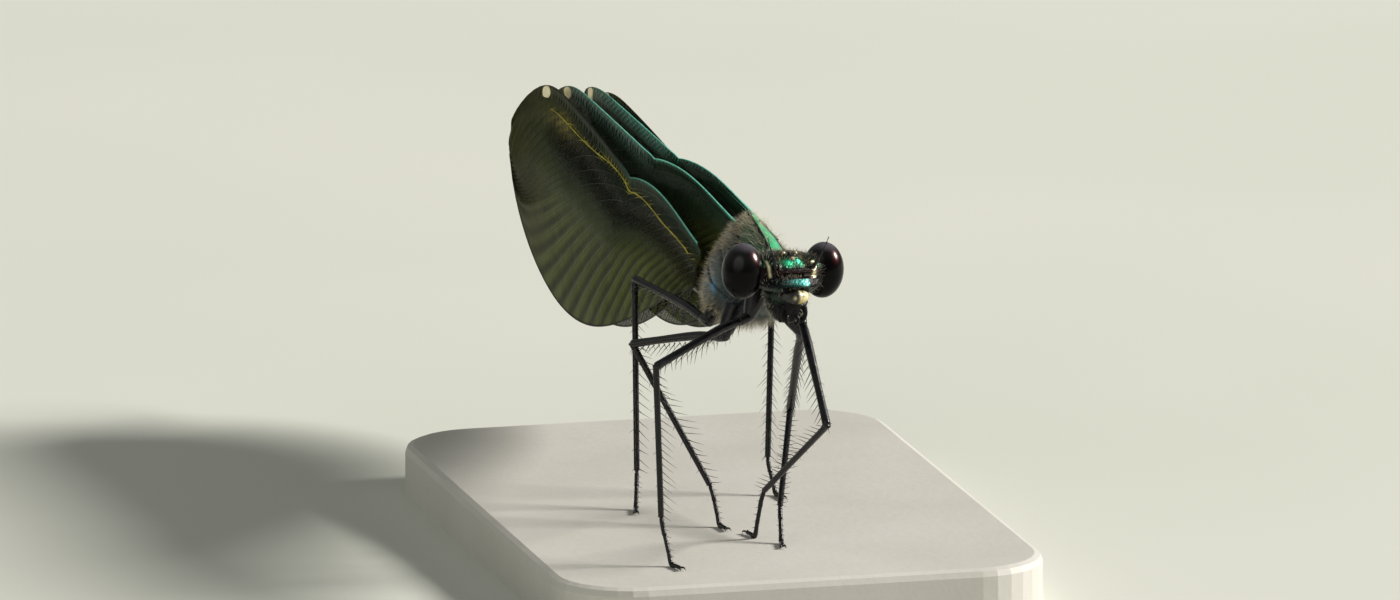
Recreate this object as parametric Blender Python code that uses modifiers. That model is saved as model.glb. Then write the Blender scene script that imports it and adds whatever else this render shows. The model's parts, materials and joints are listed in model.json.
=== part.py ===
# A female broad-winged demoiselle, a damselfly, at life size, standing still on a plain flat base.
# Units are metres and +Z is up. The animal faces -Y, so its right side is at -X and its tail at +Y.
# The origin is the middle of the whole model's underside.
import math

import bmesh
import bpy
from mathutils import Matrix, Vector

MM = 0.001

# The whole model
BODY_GAP = 0.1 * MM
LIMB_GAP = 0.06 * MM
HEAD_MIDDLE = Vector((0.0, -18.454, 14.7)) * MM
FLAT_LEVEL = -12.5 * MM

# The base under the feet, measured from the middle of the head
BASE_WIDTH = 22.0 * MM
BASE_FRONT = -5.6 * MM
BASE_BACK = 27.4 * MM
BASE_THICKNESS = 2.2 * MM
BASE_CORNER = 3.5 * MM
BASE_EDGE = 0.35 * MM

# The head, turned a little to the animal's left and tipped over to that side
HEAD_TURN = math.radians(14.0)
HEAD_TIP = math.radians(5.0)
HEAD_WIDTH = 5.8 * MM
EYE_HALF_SIZE = Vector((0.90, 0.96, 1.23)) * MM
EYE_SET_BACK = 0.12 * MM
EYE_SPREAD = HEAD_WIDTH / 2 - EYE_HALF_SIZE.x
EYE_SEGMENTS = 22
EYE_RINGS = 14
HEAD_SIDES = 22
ANTENNA_RADIUS = 0.25 * MM
ANTENNA_ROOT = Vector((0.93, -0.80, 0.34)) * MM
ANTENNA_BEND = Vector((1.15, -1.06, 0.85)) * MM
ANTENNA_TIP = Vector((1.52, -1.02, 1.70)) * MM

# Level cuts of the head: height, half width, front, back, all from its middle
HEAD_CUTS = (
    (-0.86, 0.80, -1.10, 0.45),
    (-0.72, 1.20, -1.26, 0.74),
    (-0.46, 1.62, -1.32, 0.92),
    (-0.18, 1.86, -1.12, 1.00),
    (0.14, 1.92, -0.98, 1.02),
    (0.44, 1.78, -0.86, 0.94),
    (0.68, 1.42, -0.62, 0.76),
    (0.82, 0.86, -0.36, 0.50),
    (0.88, 0.36, -0.08, 0.22),
)
HEAD_POWERS = (2.5, 2.5)

# Level cuts of the jaws below the head: height, half width, front, back
JAW_CUTS = (
    (-2.20, 0.26, -0.70, -0.10),
    (-2.02, 0.56, -0.94, 0.12),
    (-1.60, 0.86, -1.16, 0.32),
    (-1.10, 1.04, -1.18, 0.46),
    (-0.80, 1.00, -1.02, 0.40),
)
JAW_POWERS = (2.2, 2.2)
JAW_SIDES = 14
LABRUM_MIDDLE = Vector((0.0, -1.30, -1.02)) * MM
LABRUM_HALF_SIZE = Vector((0.74, 0.32, 0.30)) * MM

# Upright cuts across the trunk: place along the body, top, bottom, half width and its height
NECK_AND_PROTHORAX = (
    (1.14, 0.08, -0.76, 0.44, -0.34),
    (1.34, 0.18, -1.02, 0.74, -0.44),
    (1.60, 0.30, -1.38, 1.02, -0.56),
    (1.90, 0.36, -1.62, 1.12, -0.64),
    (2.16, 0.34, -1.66, 1.06, -0.68),
)
SYNTHORAX = (
    (2.28, 0.36, -1.70, 1.04, -0.70),
    (2.70, 0.56, -2.05, 1.36, -0.86),
    (3.40, 0.80, -2.50, 1.60, -1.14),
    (4.20, 1.00, -2.92, 1.90, -1.30),
    (5.00, 1.18, -3.24, 2.02, -1.50),
    (5.80, 1.30, -3.48, 2.06, -1.70),
    (6.60, 1.28, -3.66, 2.04, -1.90),
    (7.40, 0.86, -3.78, 1.90, -2.14),
    (8.10, 0.00, -3.82, 1.60, -2.42),
    (8.60, -0.90, -3.82, 1.26, -2.66),
    (8.96, -1.70, -3.78, 0.96, -2.82),
)
TRUNK_TOP_POWER = 1.4
TRUNK_BOTTOM_POWER = 2.3
TRUNK_SIDES = 24

# The abdomen: each segment's length and its radius at both ends, from the waist to the tip
ABDOMEN_START = 9.1 * MM
SEGMENTS = (
    (0.95, 0.84, 0.86),
    (2.35, 0.87, 0.80),
    (5.40, 0.78, 0.74),
    (5.40, 0.74, 0.72),
    (5.00, 0.72, 0.72),
    (4.60, 0.72, 0.74),
    (3.80, 0.75, 0.80),
    (2.20, 0.81, 0.84),
    (1.70, 0.84, 0.78),
    (1.15, 0.76, 0.56),
)
SEGMENT_WAIST = 0.94
SEGMENT_EDGE = 0.99
ABDOMEN_ROOT_HEIGHT = -2.95 * MM
ABDOMEN_FALL = -2.70 * MM
ABDOMEN_RISE = 4.10 * MM
APPENDAGE_LENGTH = 0.85 * MM
APPENDAGE_RADIUS = 0.26 * MM
APPENDAGE_SPREAD = 0.3 * MM
APPENDAGE_ROOT_DEPTH = 0.5 * MM

# The wings: places from the middle of the head, the other sizes along and across the blade
WING_THICKNESS = 0.5 * MM
WING_COLUMNS = 15
WING_ROWS = 6
WING_TIP_PART = 0.996
LEADING_STRAIGHT = 0.78
WIDEST_AT = 0.67
LEADING_ROUNDNESS = 2.3
TRAILING_ROUNDNESS = 1.95
ROOT_TAPER = 1.13
NODUS = 0.40
ARCH_BEFORE_NODUS = 0.42 * MM
LEAN_SETTLES_AT = 0.42
FLARE_SETTLES_AT = 0.45
# Each side's three values: how far out the front edge is, how far the blade leans, how it rises
FOREWING = {
    "root": Vector((0.0, 6.2, 0.92)) * MM, "length": 31.6 * MM, "chord": 9.1 * MM,
    "root_chord": 2.0 * MM, "tip_drop": 3.3 * MM, "nodus_dip": 0.05 * MM,
    "out_at_root": 0.42 * MM, "flare_at_root": 1.05 * MM,
    "right": (0.90 * MM, 0.50 * MM, math.radians(1.3)),
    "left": (0.02 * MM, 1.16 * MM, math.radians(1.1)),
}
HINDWING = {
    "root": Vector((0.0, 7.9, -0.35)) * MM, "length": 30.9 * MM, "chord": 8.7 * MM,
    "root_chord": 2.0 * MM, "tip_drop": 3.4 * MM, "nodus_dip": 0.40 * MM,
    "out_at_root": 1.70 * MM, "flare_at_root": 0.42 * MM,
    "right": (1.56 * MM, 1.00 * MM, math.radians(3.7)),
    "left": (1.04 * MM, 1.15 * MM, math.radians(2.7)),
}

# The legs: each joint's place from the middle of the head, in millimetres.
# The last two are where the foot comes down and where its claws end, both on the flat.
LEGS = {
    "fore_right": ((-0.62, 1.95, -1.10), (-1.15, 1.60, -2.30), (-5.90, -0.60, -3.80),
                   (-5.75, -0.90, -10.60), (-5.50, -1.70), (-5.30, -2.50)),
    "fore_left": ((0.62, 1.95, -1.10), (1.15, 1.60, -2.30), (1.25, -2.60, -6.40),
                  (-0.40, 2.10, -10.30), (-0.60, 2.70), (-0.75, 3.50)),
    "mid_right": ((-1.00, 4.30, -2.30), (-1.75, 3.70, -3.60), (-4.20, 10.20, -5.20),
                  (-1.70, 6.00, -10.90), (-1.55, 5.20), (-1.45, 4.40)),
    "mid_left": ((1.00, 4.30, -2.30), (1.75, 3.70, -3.60), (2.70, 9.20, -8.30),
                 (0.45, 2.40, -11.10), (0.25, 1.40), (0.10, 0.55)),
    "hind_right": ((-0.90, 7.00, -2.60), (-1.75, 6.40, -3.50), (-3.30, 13.30, -3.00),
                   (-4.00, 10.20, -11.10), (-4.25, 9.40), (-4.45, 8.60)),
    "hind_left": ((0.90, 7.00, -2.60), (1.75, 6.40, -3.50), (3.20, 14.20, -3.40),
                  (2.25, 11.40, -11.10), (2.40, 10.60), (2.50, 9.80)),
}
COXA_RADII = (0.56 * MM, 0.34 * MM)
FEMUR_RADII = (0.28 * MM, 0.25 * MM)
TIBIA_RADII = (0.25 * MM, 0.25 * MM)
TARSUS_RADII = (0.25 * MM, 0.25 * MM)
LIMB_SIDES_SETTING = 2
TUBE_SIDES_SETTING = 4


def clear_scene():
    """Empty the file of every object it opened with."""
    for thing in list(bpy.data.objects):
        bpy.data.objects.remove(thing, do_unlink=True)


def make_collection(name):
    """Make a collection and put it in the scene."""
    group = bpy.data.collections.new(name)
    bpy.context.scene.collection.children.link(group)
    return group


def make_material(name, colour, roughness, metallic=0.0):
    """Make a plain material from a colour, its roughness and its metallic value."""
    material = bpy.data.materials.new(name)
    material.use_nodes = True
    shader = material.node_tree.nodes["Principled BSDF"]
    shader.inputs["Base Color"].default_value = (*colour, 1.0)
    shader.inputs["Roughness"].default_value = roughness
    shader.inputs["Metallic"].default_value = metallic
    material.diffuse_color = (*colour, 1.0)
    return material


def add_object(name, data, material, group, parent, frame=None):
    """Put a mesh or curve in its collection, in the frame it was drawn in."""
    thing = bpy.data.objects.new(name, data)
    group.objects.link(thing)
    thing.parent = parent
    if frame is not None:
        thing.matrix_local = frame
    if material is not None:
        data.materials.append(material)
    return thing


def mesh_from(bm, name):
    """Turn a bmesh into a smooth-shaded mesh whose faces point outwards."""
    bmesh.ops.recalc_face_normals(bm, faces=bm.faces)
    mesh = bpy.data.meshes.new(name)
    bm.to_mesh(mesh)
    bm.free()
    mesh.shade_smooth()
    return mesh


def rounded_ring(bm, place, sides, powers):
    """Draw a closed ring, a circle squared off by one power above and one below, then placed."""
    ring = bmesh.ops.create_circle(bm, radius=1.0, segments=sides)["verts"]
    lowest, highest = place[1]
    for vert in ring:
        power = powers[0] if vert.co.y > 0 else powers[1]
        across = math.copysign(abs(vert.co.x) ** (2 / power), vert.co.x)
        along = abs(vert.co.y) ** (2 / power)
        vert.co = place[0] @ Vector((across, along * (highest if vert.co.y > 0 else lowest), 0.0))
    return list({edge for vert in ring for edge in vert.link_edges})


def loft(name, places, sides, powers):
    """Join a row of rings into one closed body. Each place is a matrix and the ring's two reaches."""
    bm = bmesh.new()
    rings = [rounded_ring(bm, place, sides, powers) for place in places]
    for first, second in zip(rings, rings[1:]):
        bmesh.ops.bridge_loops(bm, edges=first + second)
    bmesh.ops.contextual_create(bm, geom=rings[0])
    bmesh.ops.contextual_create(bm, geom=rings[-1])
    return mesh_from(bm, name)


def trunk_places(cuts, grow=0.0):
    """Stand the trunk's cuts upright, each grown by a clearance."""
    places = []
    upright = Matrix.Rotation(math.radians(90.0), 4, "X")
    for along, top, bottom, half_width, widest in cuts:
        shift = -grow if along == cuts[0][0] else grow if along == cuts[-1][0] else 0.0
        centre = Matrix.Translation(Vector((0.0, along * MM + shift, widest * MM)))
        size = Matrix.Diagonal((half_width * MM + grow, 1.0, 1.0, 1.0))
        reaches = ((bottom - widest) * MM - grow, (top - widest) * MM + grow)
        places.append((centre @ upright @ size, reaches))
    return places


def level_places(cuts, grow=0.0):
    """Lay the head's or the jaws' cuts level, one above the other, each grown by a clearance."""
    places = []
    for height, half_width, front, back in cuts:
        shift = -grow if height == cuts[0][0] else grow if height == cuts[-1][0] else 0.0
        centre = Matrix.Translation(Vector((0.0, (front + back) / 2 * MM, height * MM + shift)))
        half_length = (back - front) / 2 * MM + grow
        size = Matrix.Diagonal((half_width * MM + grow, 1.0, 1.0, 1.0))
        places.append((centre @ size, (-half_length, half_length)))
    return places


def ellipsoid(name, middle, half_size, segments, rings):
    """Make a closed ellipsoid from its middle and its three half sizes."""
    bm = bmesh.new()
    place = Matrix.Translation(middle) @ Matrix.Diagonal((*half_size, 1.0))
    bmesh.ops.create_uvsphere(bm, u_segments=segments, v_segments=rings, radius=1.0, matrix=place)
    return mesh_from(bm, name)


def tube(name, points, radii, sides_setting):
    """Draw a closed tube along points, with a radius for each of them."""
    curve = bpy.data.curves.new(name, "CURVE")
    curve.dimensions = "3D"
    curve.bevel_depth = 1.0
    curve.bevel_resolution = sides_setting
    curve.use_fill_caps = True
    spline = curve.splines.new("POLY")
    spline.points.add(len(points) - 1)
    for knot, place, radius in zip(spline.points, points, radii):
        knot.co = (*place, 1.0)
        knot.radius = radius
    return curve


def tube_as_mesh(name, points, radii, sides_setting):
    """Make a tube a welded mesh, so that it can be cut."""
    curve = tube(name, points, radii, sides_setting)
    draft = bpy.data.objects.new(name + "_draft", curve)
    bpy.context.scene.collection.objects.link(draft)
    bpy.context.view_layer.update()
    seen = draft.evaluated_get(bpy.context.evaluated_depsgraph_get())
    mesh = bpy.data.meshes.new_from_object(seen)
    mesh.name = name
    bpy.data.objects.remove(draft, do_unlink=True)
    bpy.data.curves.remove(curve)
    bm = bmesh.new()
    bm.from_mesh(mesh)
    bmesh.ops.remove_doubles(bm, verts=bm.verts, dist=0.001 * MM)
    bmesh.ops.recalc_face_normals(bm, faces=bm.faces)
    bm.to_mesh(mesh)
    bm.free()
    return mesh


def combine(thing, tool, operation="DIFFERENCE"):
    """Cut a tool's shape out of a thing, or join the two into one solid."""
    modifier = thing.modifiers.new(tool.name, "BOOLEAN")
    modifier.operation = operation
    modifier.solver = "EXACT"
    modifier.object = tool


def make_cutter(name, mesh, group, parent, frame=None):
    """Keep a shape that is only cut from others or joined to them."""
    cutter = add_object(name, mesh, None, group, parent, frame)
    cutter.hide_render = True
    cutter.display_type = "WIRE"
    return cutter


def blade_edges(wing, span):
    """Give how far below the wing's straight front line its two edges lie, at a part of its length.

    The front edge is arched between the root and the nodus, and kinked downwards at the nodus.
    """
    tip_drop = wing["tip_drop"]
    past_straight = max(0.0, (span - LEADING_STRAIGHT) / (1 - LEADING_STRAIGHT))
    roundness = (1 - past_straight ** LEADING_ROUNDNESS) ** (1 / LEADING_ROUNDNESS)
    leading = tip_drop * (1 - roundness)
    if span < NODUS:
        leading += wing["nodus_dip"] * (span / NODUS) ** 3
        leading -= ARCH_BEFORE_NODUS * math.sin(math.pi * (span / NODUS) ** 1.3)
    elif span < LEADING_STRAIGHT:
        leading += wing["nodus_dip"] * ((LEADING_STRAIGHT - span) / (LEADING_STRAIGHT - NODUS)) ** 2
    if span < WIDEST_AT:
        growth = math.sin(math.pi / 2 * (span / WIDEST_AT) ** ROOT_TAPER)
        trailing = wing["root_chord"] + (wing["chord"] - wing["root_chord"]) * growth
    else:
        past_widest = (span - WIDEST_AT) / (1 - WIDEST_AT)
        roundness = (1 - past_widest ** TRAILING_ROUNDNESS) ** (1 / TRAILING_ROUNDNESS)
        trailing = tip_drop + (wing["chord"] - tip_drop) * roundness
    return leading, trailing


def wing_mesh(name, wing, side):
    """Bend a flat grid into one wing's blade, which leans outwards below its front edge."""
    out_at_tip, flare_at_tip, rise = wing["left" if side > 0 else "right"]
    bm = bmesh.new()
    bmesh.ops.create_grid(bm, x_segments=WING_COLUMNS, y_segments=WING_ROWS, size=0.5)
    for vert in bm.verts:
        span = WING_TIP_PART * math.sin(math.pi / 2 * (vert.co.x + 0.5))
        chord_part = vert.co.y + 0.5
        leading, trailing = blade_edges(wing, span)
        drop = leading + (trailing - leading) * chord_part
        spread = min(1.0, span / FLARE_SETTLES_AT)
        out = between(wing["out_at_root"], out_at_tip, spread)
        settled = min(1.0, max(0.0, drop / wing["chord"] / LEAN_SETTLES_AT))
        lean = between(wing["flare_at_root"], flare_at_tip, spread) * settled * settled * (3 - 2 * settled)
        along = span * wing["length"]
        back = along * math.cos(rise) + drop * math.sin(rise)
        up = along * math.sin(rise) - drop * math.cos(rise)
        vert.co = wing["root"] + Vector((side * (out + lean), back, up))
    return mesh_from(bm, name)


def abdomen_point(along):
    """Give the place of the abdomen's middle line, this far behind the waist."""
    part = along / (sum(length for length, _, _ in SEGMENTS) * MM)
    height = ABDOMEN_ROOT_HEIGHT + ABDOMEN_FALL * part + ABDOMEN_RISE * part * part
    return Vector((0.0, ABDOMEN_START + along, height))


def between(start, end, part):
    """Give the point or number that lies this part of the way from start to end."""
    return start + (end - start) * part


def clear_length(bend, radius_before, radius_after):
    """Give how far past a bent joint a round limb starts, so that it clears the limb before it."""
    tests = []
    if bend < math.radians(80.0):
        tests.append((LIMB_GAP + radius_after * math.sin(bend)) / math.cos(bend))
    if bend > math.radians(25.0):
        reach = radius_before + LIMB_GAP + radius_after * abs(math.cos(bend))
        tests.append(reach / math.sin(bend))
    return min(tests)


def head_room(cutters, place, turn):
    """Give the head's shape grown by the gap, made once and used by all that sits on the head."""
    found = cutters.objects.get("head_room")
    if found:
        return found
    mesh = loft("head_room", level_places(HEAD_CUTS, BODY_GAP), HEAD_SIDES, HEAD_POWERS)
    return make_cutter("head_room", mesh, cutters, place, turn)


def make_head(group, cutters, place, colours):
    """Make the head with its eyes, antennae and mouthparts, in the head's own frame."""
    turn = Matrix.Rotation(HEAD_TURN, 4, "Z") @ Matrix.Rotation(HEAD_TIP, 4, "Y")
    head = add_object("head", loft("head", level_places(HEAD_CUTS), HEAD_SIDES, HEAD_POWERS),
                      colours["green"], group, place, turn)
    for side, word in ((-1, "right"), (1, "left")):
        middle = Vector((side * EYE_SPREAD, EYE_SET_BACK, 0.0))
        eye = ellipsoid("eye_" + word, middle, EYE_HALF_SIZE, EYE_SEGMENTS, EYE_RINGS)
        add_object("eye_" + word, eye, colours["eye"], group, place, turn)
        room = EYE_HALF_SIZE + Vector((BODY_GAP, BODY_GAP, BODY_GAP))
        socket = ellipsoid("socket_" + word, middle, room, EYE_SEGMENTS, EYE_RINGS)
        combine(head, make_cutter("socket_" + word, socket, cutters, place, turn))
        points = [Vector((side * point.x, point.y, point.z))
                  for point in (ANTENNA_ROOT, ANTENNA_BEND, ANTENNA_TIP)]
        radii = [ANTENNA_RADIUS, ANTENNA_RADIUS, ANTENNA_RADIUS]
        antenna = tube_as_mesh("antenna_" + word, points, radii, LIMB_SIDES_SETTING)
        feeler = add_object("antenna_" + word, antenna, colours["black"], group, place, turn)
        combine(feeler, head_room(cutters, place, turn))
    lip = add_object("labrum", ellipsoid("labrum", LABRUM_MIDDLE, LABRUM_HALF_SIZE, 14, 8),
                     colours["cream"], group, place, turn)
    combine(lip, head_room(cutters, place, turn))
    jaws = loft("mouthparts", level_places(JAW_CUTS), JAW_SIDES, JAW_POWERS)
    mouth = add_object("mouthparts", jaws, colours["black"], group, place, turn)
    combine(mouth, head_room(cutters, place, turn))
    larger = LABRUM_HALF_SIZE + Vector((BODY_GAP, BODY_GAP, BODY_GAP))
    lip_room = ellipsoid("lip_room", LABRUM_MIDDLE, larger, 14, 8)
    combine(mouth, make_cutter("lip_room", lip_room, cutters, place, turn))


def make_trunk(group, cutters, place, colours):
    """Make the two parts of the thorax, and return the shapes that clear them."""
    rooms = {}
    for name, cuts in (("prothorax", NECK_AND_PROTHORAX), ("synthorax", SYNTHORAX)):
        powers = (TRUNK_TOP_POWER, TRUNK_BOTTOM_POWER)
        mesh = loft(name, trunk_places(cuts), TRUNK_SIDES, powers)
        add_object(name, mesh, colours["green"], group, place)
        room = loft(name + "_room", trunk_places(cuts, BODY_GAP), TRUNK_SIDES, powers)
        rooms[name] = make_cutter(name + "_room", room, cutters, place)
    return rooms


def make_abdomen(group, cutters, place, colours):
    """Make the ten segments along the abdomen's curve, and the last one's two appendages."""
    start = 0.0
    for number, (length, front, back) in enumerate(SEGMENTS, 1):
        first = start + BODY_GAP / 2
        last = start + length * MM - BODY_GAP / 2
        parts = (0.0, 0.12, 0.5, 0.88, 1.0)
        points = [abdomen_point(between(first, last, part)) for part in parts]
        pinch = (1.0, SEGMENT_EDGE, SEGMENT_WAIST, SEGMENT_EDGE, 1.0)
        radii = [between(front, back, part) * factor * MM for part, factor in zip(parts, pinch)]
        name = "abdomen_" + str(number)
        mesh = tube_as_mesh(name, points, radii, TUBE_SIDES_SETTING)
        segment = add_object(name, mesh, colours["green"], group, place)
        start += length * MM
    end = abdomen_point(start)
    for side in (-1, 1):
        root = end + Vector((side * APPENDAGE_SPREAD * 0.8, -APPENDAGE_ROOT_DEPTH, 0.0))
        tip = end + Vector((side * APPENDAGE_SPREAD, APPENDAGE_LENGTH, 0.0))
        name = "appendage_right" if side < 0 else "appendage_left"
        radii = (APPENDAGE_RADIUS, 0.7 * APPENDAGE_RADIUS)
        mesh = tube_as_mesh(name, (root, tip), radii, LIMB_SIDES_SETTING)
        combine(segment, make_cutter(name, mesh, cutters, place), "UNION")


def make_wings(group, rooms, place, colours):
    """Make the four wings, the hind pair outside the fore pair, all clear of the thorax."""
    for pair, wing in (("forewing", FOREWING), ("hindwing", HINDWING)):
        for side, word in ((-1, "right"), (1, "left")):
            name = pair + "_" + word
            blade = add_object(name, wing_mesh(name, wing, side), colours["wing"], group, place)
            sheet = blade.modifiers.new("thickness", "SOLIDIFY")
            sheet.thickness = WING_THICKNESS
            sheet.offset = 0.0
            combine(blade, rooms["synthorax"])


def make_limb(name, start, end, radii, group, place, colours):
    """Make one straight, tapered piece of a leg."""
    points = [between(start, end, part) for part in (0.0, 0.5, 1.0)]
    sizes = [radii[0], between(radii[0], radii[1], 0.35), radii[1]]
    mesh = tube_as_mesh(name, points, sizes, LIMB_SIDES_SETTING)
    return add_object(name, mesh, colours["black"], group, place)


def make_leg(name, joints, group, rooms, place, colours):
    """Make a leg in four pieces: coxa, femur, tibia and tarsus, the last one flat on the base."""
    root, hip, knee, ankle = (Vector(joint) * MM for joint in joints[:4])
    foot_height = FLAT_LEVEL + BODY_GAP + TARSUS_RADII[1]
    sole, toe = (Vector((spot[0] * MM, spot[1] * MM, foot_height)) for spot in joints[4:])
    coxa = make_limb(name + "_coxa", root, hip, COXA_RADII, group, place, colours)
    combine(coxa, rooms["prothorax" if name.startswith("fore") else "synthorax"])
    if name.startswith("fore"):
        combine(coxa, rooms["synthorax"])
    before = hip - root
    radius_before = COXA_RADII[1]
    start = hip
    for piece, end, radii in (("_femur", knee, FEMUR_RADII), ("_tibia", ankle, TIBIA_RADII)):
        way = end - start
        room = clear_length(before.angle(way), radius_before, radii[0])
        make_limb(name + piece, start + way.normalized() * room, end, radii, group, place, colours)
        before = way
        radius_before = radii[1]
        start = end
    way = sole - ankle
    room = clear_length(before.angle(way), radius_before, TARSUS_RADII[0])
    points = [ankle + way.normalized() * room, between(ankle, sole, 0.8), sole, toe]
    mesh = tube_as_mesh(name + "_tarsus", points, [TARSUS_RADII[0]] * 4, LIMB_SIDES_SETTING)
    add_object(name + "_tarsus", mesh, colours["black"], group, place)


def make_base(group, place, colours):
    """Make the plain plate under all six feet, with round corners and a softened rim."""
    bm = bmesh.new()
    length = BASE_BACK - BASE_FRONT
    middle = Vector((0.0, (BASE_BACK + BASE_FRONT) / 2, FLAT_LEVEL - BASE_THICKNESS / 2))
    size = Matrix.Diagonal((BASE_WIDTH, length, BASE_THICKNESS, 1.0))
    bmesh.ops.create_cube(bm, size=1.0, matrix=Matrix.Translation(middle) @ size)
    upright = [edge for edge in bm.edges
               if abs(edge.verts[0].co.z - edge.verts[1].co.z) > BASE_THICKNESS / 2]
    bmesh.ops.bevel(bm, geom=upright, offset=BASE_CORNER, segments=8, profile=0.5,
                    affect="EDGES", material=-1)
    rim = [edge for edge in bm.edges
           if min(vert.co.z for vert in edge.verts) > FLAT_LEVEL - 0.01 * MM]
    bmesh.ops.bevel(bm, geom=rim, offset=BASE_EDGE, segments=2, profile=0.5,
                    affect="EDGES", material=-1)
    mesh = mesh_from(bm, "stand_base")
    mesh.set_sharp_from_angle(angle=math.radians(35.0))
    add_object("stand_base", mesh, colours["base"], group, place)


def main():
    """Build the damselfly and its base."""
    clear_scene()
    group = make_collection("damselfly")
    cutters = make_collection("damselfly_cutters")
    place = bpy.data.objects.new("head_middle", None)
    place.location = HEAD_MIDDLE
    group.objects.link(place)
    colours = {
        "green": make_material("metallic_green_cuticle", (0.02, 0.16, 0.10), 0.32, 0.7),
        "black": make_material("black_cuticle", (0.012, 0.011, 0.014), 0.38),
        "cream": make_material("cream_lip", (0.70, 0.62, 0.30), 0.35),
        "eye": make_material("dark_brown_eye", (0.02, 0.009, 0.008), 0.12),
        "wing": make_material("smoky_wing", (0.07, 0.062, 0.022), 0.30),
        "base": make_material("matt_white_base", (0.72, 0.71, 0.68), 0.55),
    }
    make_head(group, cutters, place, colours)
    rooms = make_trunk(group, cutters, place, colours)
    make_abdomen(group, cutters, place, colours)
    make_wings(group, rooms, place, colours)
    for name, joints in LEGS.items():
        make_leg(name, joints, group, rooms, place, colours)
    make_base(group, place, colours)


main()
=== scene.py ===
# The looks of a female broad-winged demoiselle at life size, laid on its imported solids.
# Places are metres in the solids' own frame: +Z up, the animal faces -Y, its right side is at -X.
# Sizes written in millimetres are measured from the middle of the head.
import json
import math

import bmesh
import bpy
import numpy as np
from mathutils import Matrix, Vector

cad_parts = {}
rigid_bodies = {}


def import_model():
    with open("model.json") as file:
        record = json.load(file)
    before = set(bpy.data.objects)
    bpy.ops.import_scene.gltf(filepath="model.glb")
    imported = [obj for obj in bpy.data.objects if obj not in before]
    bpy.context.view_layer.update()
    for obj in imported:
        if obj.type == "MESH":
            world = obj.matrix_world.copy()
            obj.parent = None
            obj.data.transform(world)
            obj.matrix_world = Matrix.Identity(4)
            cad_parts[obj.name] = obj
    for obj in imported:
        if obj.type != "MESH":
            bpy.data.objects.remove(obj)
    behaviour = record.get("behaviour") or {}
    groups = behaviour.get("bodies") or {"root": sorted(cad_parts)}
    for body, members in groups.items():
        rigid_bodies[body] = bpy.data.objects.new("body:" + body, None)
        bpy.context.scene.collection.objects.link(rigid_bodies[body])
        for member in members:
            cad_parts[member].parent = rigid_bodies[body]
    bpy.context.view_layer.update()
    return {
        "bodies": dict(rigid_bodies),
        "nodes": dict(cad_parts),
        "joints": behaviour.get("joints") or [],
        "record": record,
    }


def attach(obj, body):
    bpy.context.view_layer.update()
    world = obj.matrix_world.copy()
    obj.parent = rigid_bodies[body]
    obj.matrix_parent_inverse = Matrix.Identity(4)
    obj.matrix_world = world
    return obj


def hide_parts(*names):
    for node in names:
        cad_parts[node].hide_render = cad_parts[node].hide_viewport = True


MM = 0.001
TINY = 1e-12
HEAD_MIDDLE = Vector((0.0, -18.454, 14.7)) * MM
BASE_TOP = -12.5
SIDES = ((-1, "right"), (1, "left"))
CHANCE = np.random.default_rng(23)

# The camera: at the photograph's angle, far off through a long lens, which sees almost in parallel
CAMERA_TURN = math.radians(-14.5)
CAMERA_HEIGHT = math.radians(12.4)
CAMERA_DISTANCE = 1.1
PIXELS_PER_MM = 23.0
IMAGE_SIZE = (1400, 600)
HEAD_IN_IMAGE = (784, 271)
SENSOR_WIDTH = 36.0

# The head is turned to its left and tipped over to that side
HEAD_FRAME = (Matrix.Translation(HEAD_MIDDLE) @ Matrix.Rotation(math.radians(14.0), 4, "Z")
              @ Matrix.Rotation(math.radians(5.0), 4, "Y"))
BODY_FRAME = Matrix.Translation(HEAD_MIDDLE)
EYE_SPREAD = 2.00
EYE_SET_BACK = 0.12
EYE_HALF_SIZE = (0.90, 0.96, 1.23)
# Where light falls into the eyes, in the head's frame: halfway between the key light and the camera
# The eyes' red-brown glow is painted round this direction.
EYE_LIT_TOWARDS = (0.215, -0.806, 0.551)

# Level cuts of the head and the jaws: height, half width, front, back
HEAD_CUTS = (
    (-0.86, 0.80, -1.10, 0.45), (-0.72, 1.20, -1.22, 0.74), (-0.46, 1.62, -1.24, 0.92),
    (-0.18, 1.84, -1.08, 1.00), (0.14, 1.90, -0.98, 1.02), (0.44, 1.76, -0.86, 0.94),
    (0.68, 1.40, -0.62, 0.76), (0.82, 0.86, -0.36, 0.50), (0.88, 0.36, -0.08, 0.22),
)
JAW_CUTS = (
    (-2.20, 0.24, -0.70, -0.12), (-2.02, 0.52, -0.92, 0.10), (-1.60, 0.82, -1.12, 0.30),
    (-1.10, 1.00, -1.14, 0.44), (-0.70, 1.02, -0.98, 0.40),
)
# Upright cuts of the trunk: place along the body, top, bottom, half width and its height
TRUNK_CUTS = (
    (1.05, 0.00, -0.70, 0.36, -0.34), (1.34, 0.12, -0.94, 0.62, -0.44),
    (1.60, 0.24, -1.28, 0.90, -0.56), (1.90, 0.30, -1.52, 1.02, -0.64),
    (2.14, 0.24, -1.56, 0.94, -0.68), (2.26, 0.14, -1.54, 0.86, -0.68),
    (2.40, 0.30, -1.66, 1.00, -0.72), (2.74, 0.48, -1.96, 1.26, -0.86),
    (3.40, 0.70, -2.40, 1.50, -1.14), (4.20, 0.90, -2.82, 1.78, -1.30),
    (5.00, 1.08, -3.14, 1.90, -1.50), (5.80, 1.20, -3.38, 1.94, -1.70),
    (6.60, 1.18, -3.56, 1.92, -1.90), (7.40, 0.76, -3.68, 1.78, -2.14),
    (8.10, -0.10, -3.72, 1.50, -2.42), (8.60, -1.00, -3.74, 1.18, -2.66),
    (9.10, -1.90, -3.72, 0.90, -2.84),
)
# How square each cut is: 2 is round
HEAD_POWER = 2.5
JAW_POWER = 2.2
TRUNK_TOP_POWER = 1.4
TRUNK_BOTTOM_POWER = 2.3
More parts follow.
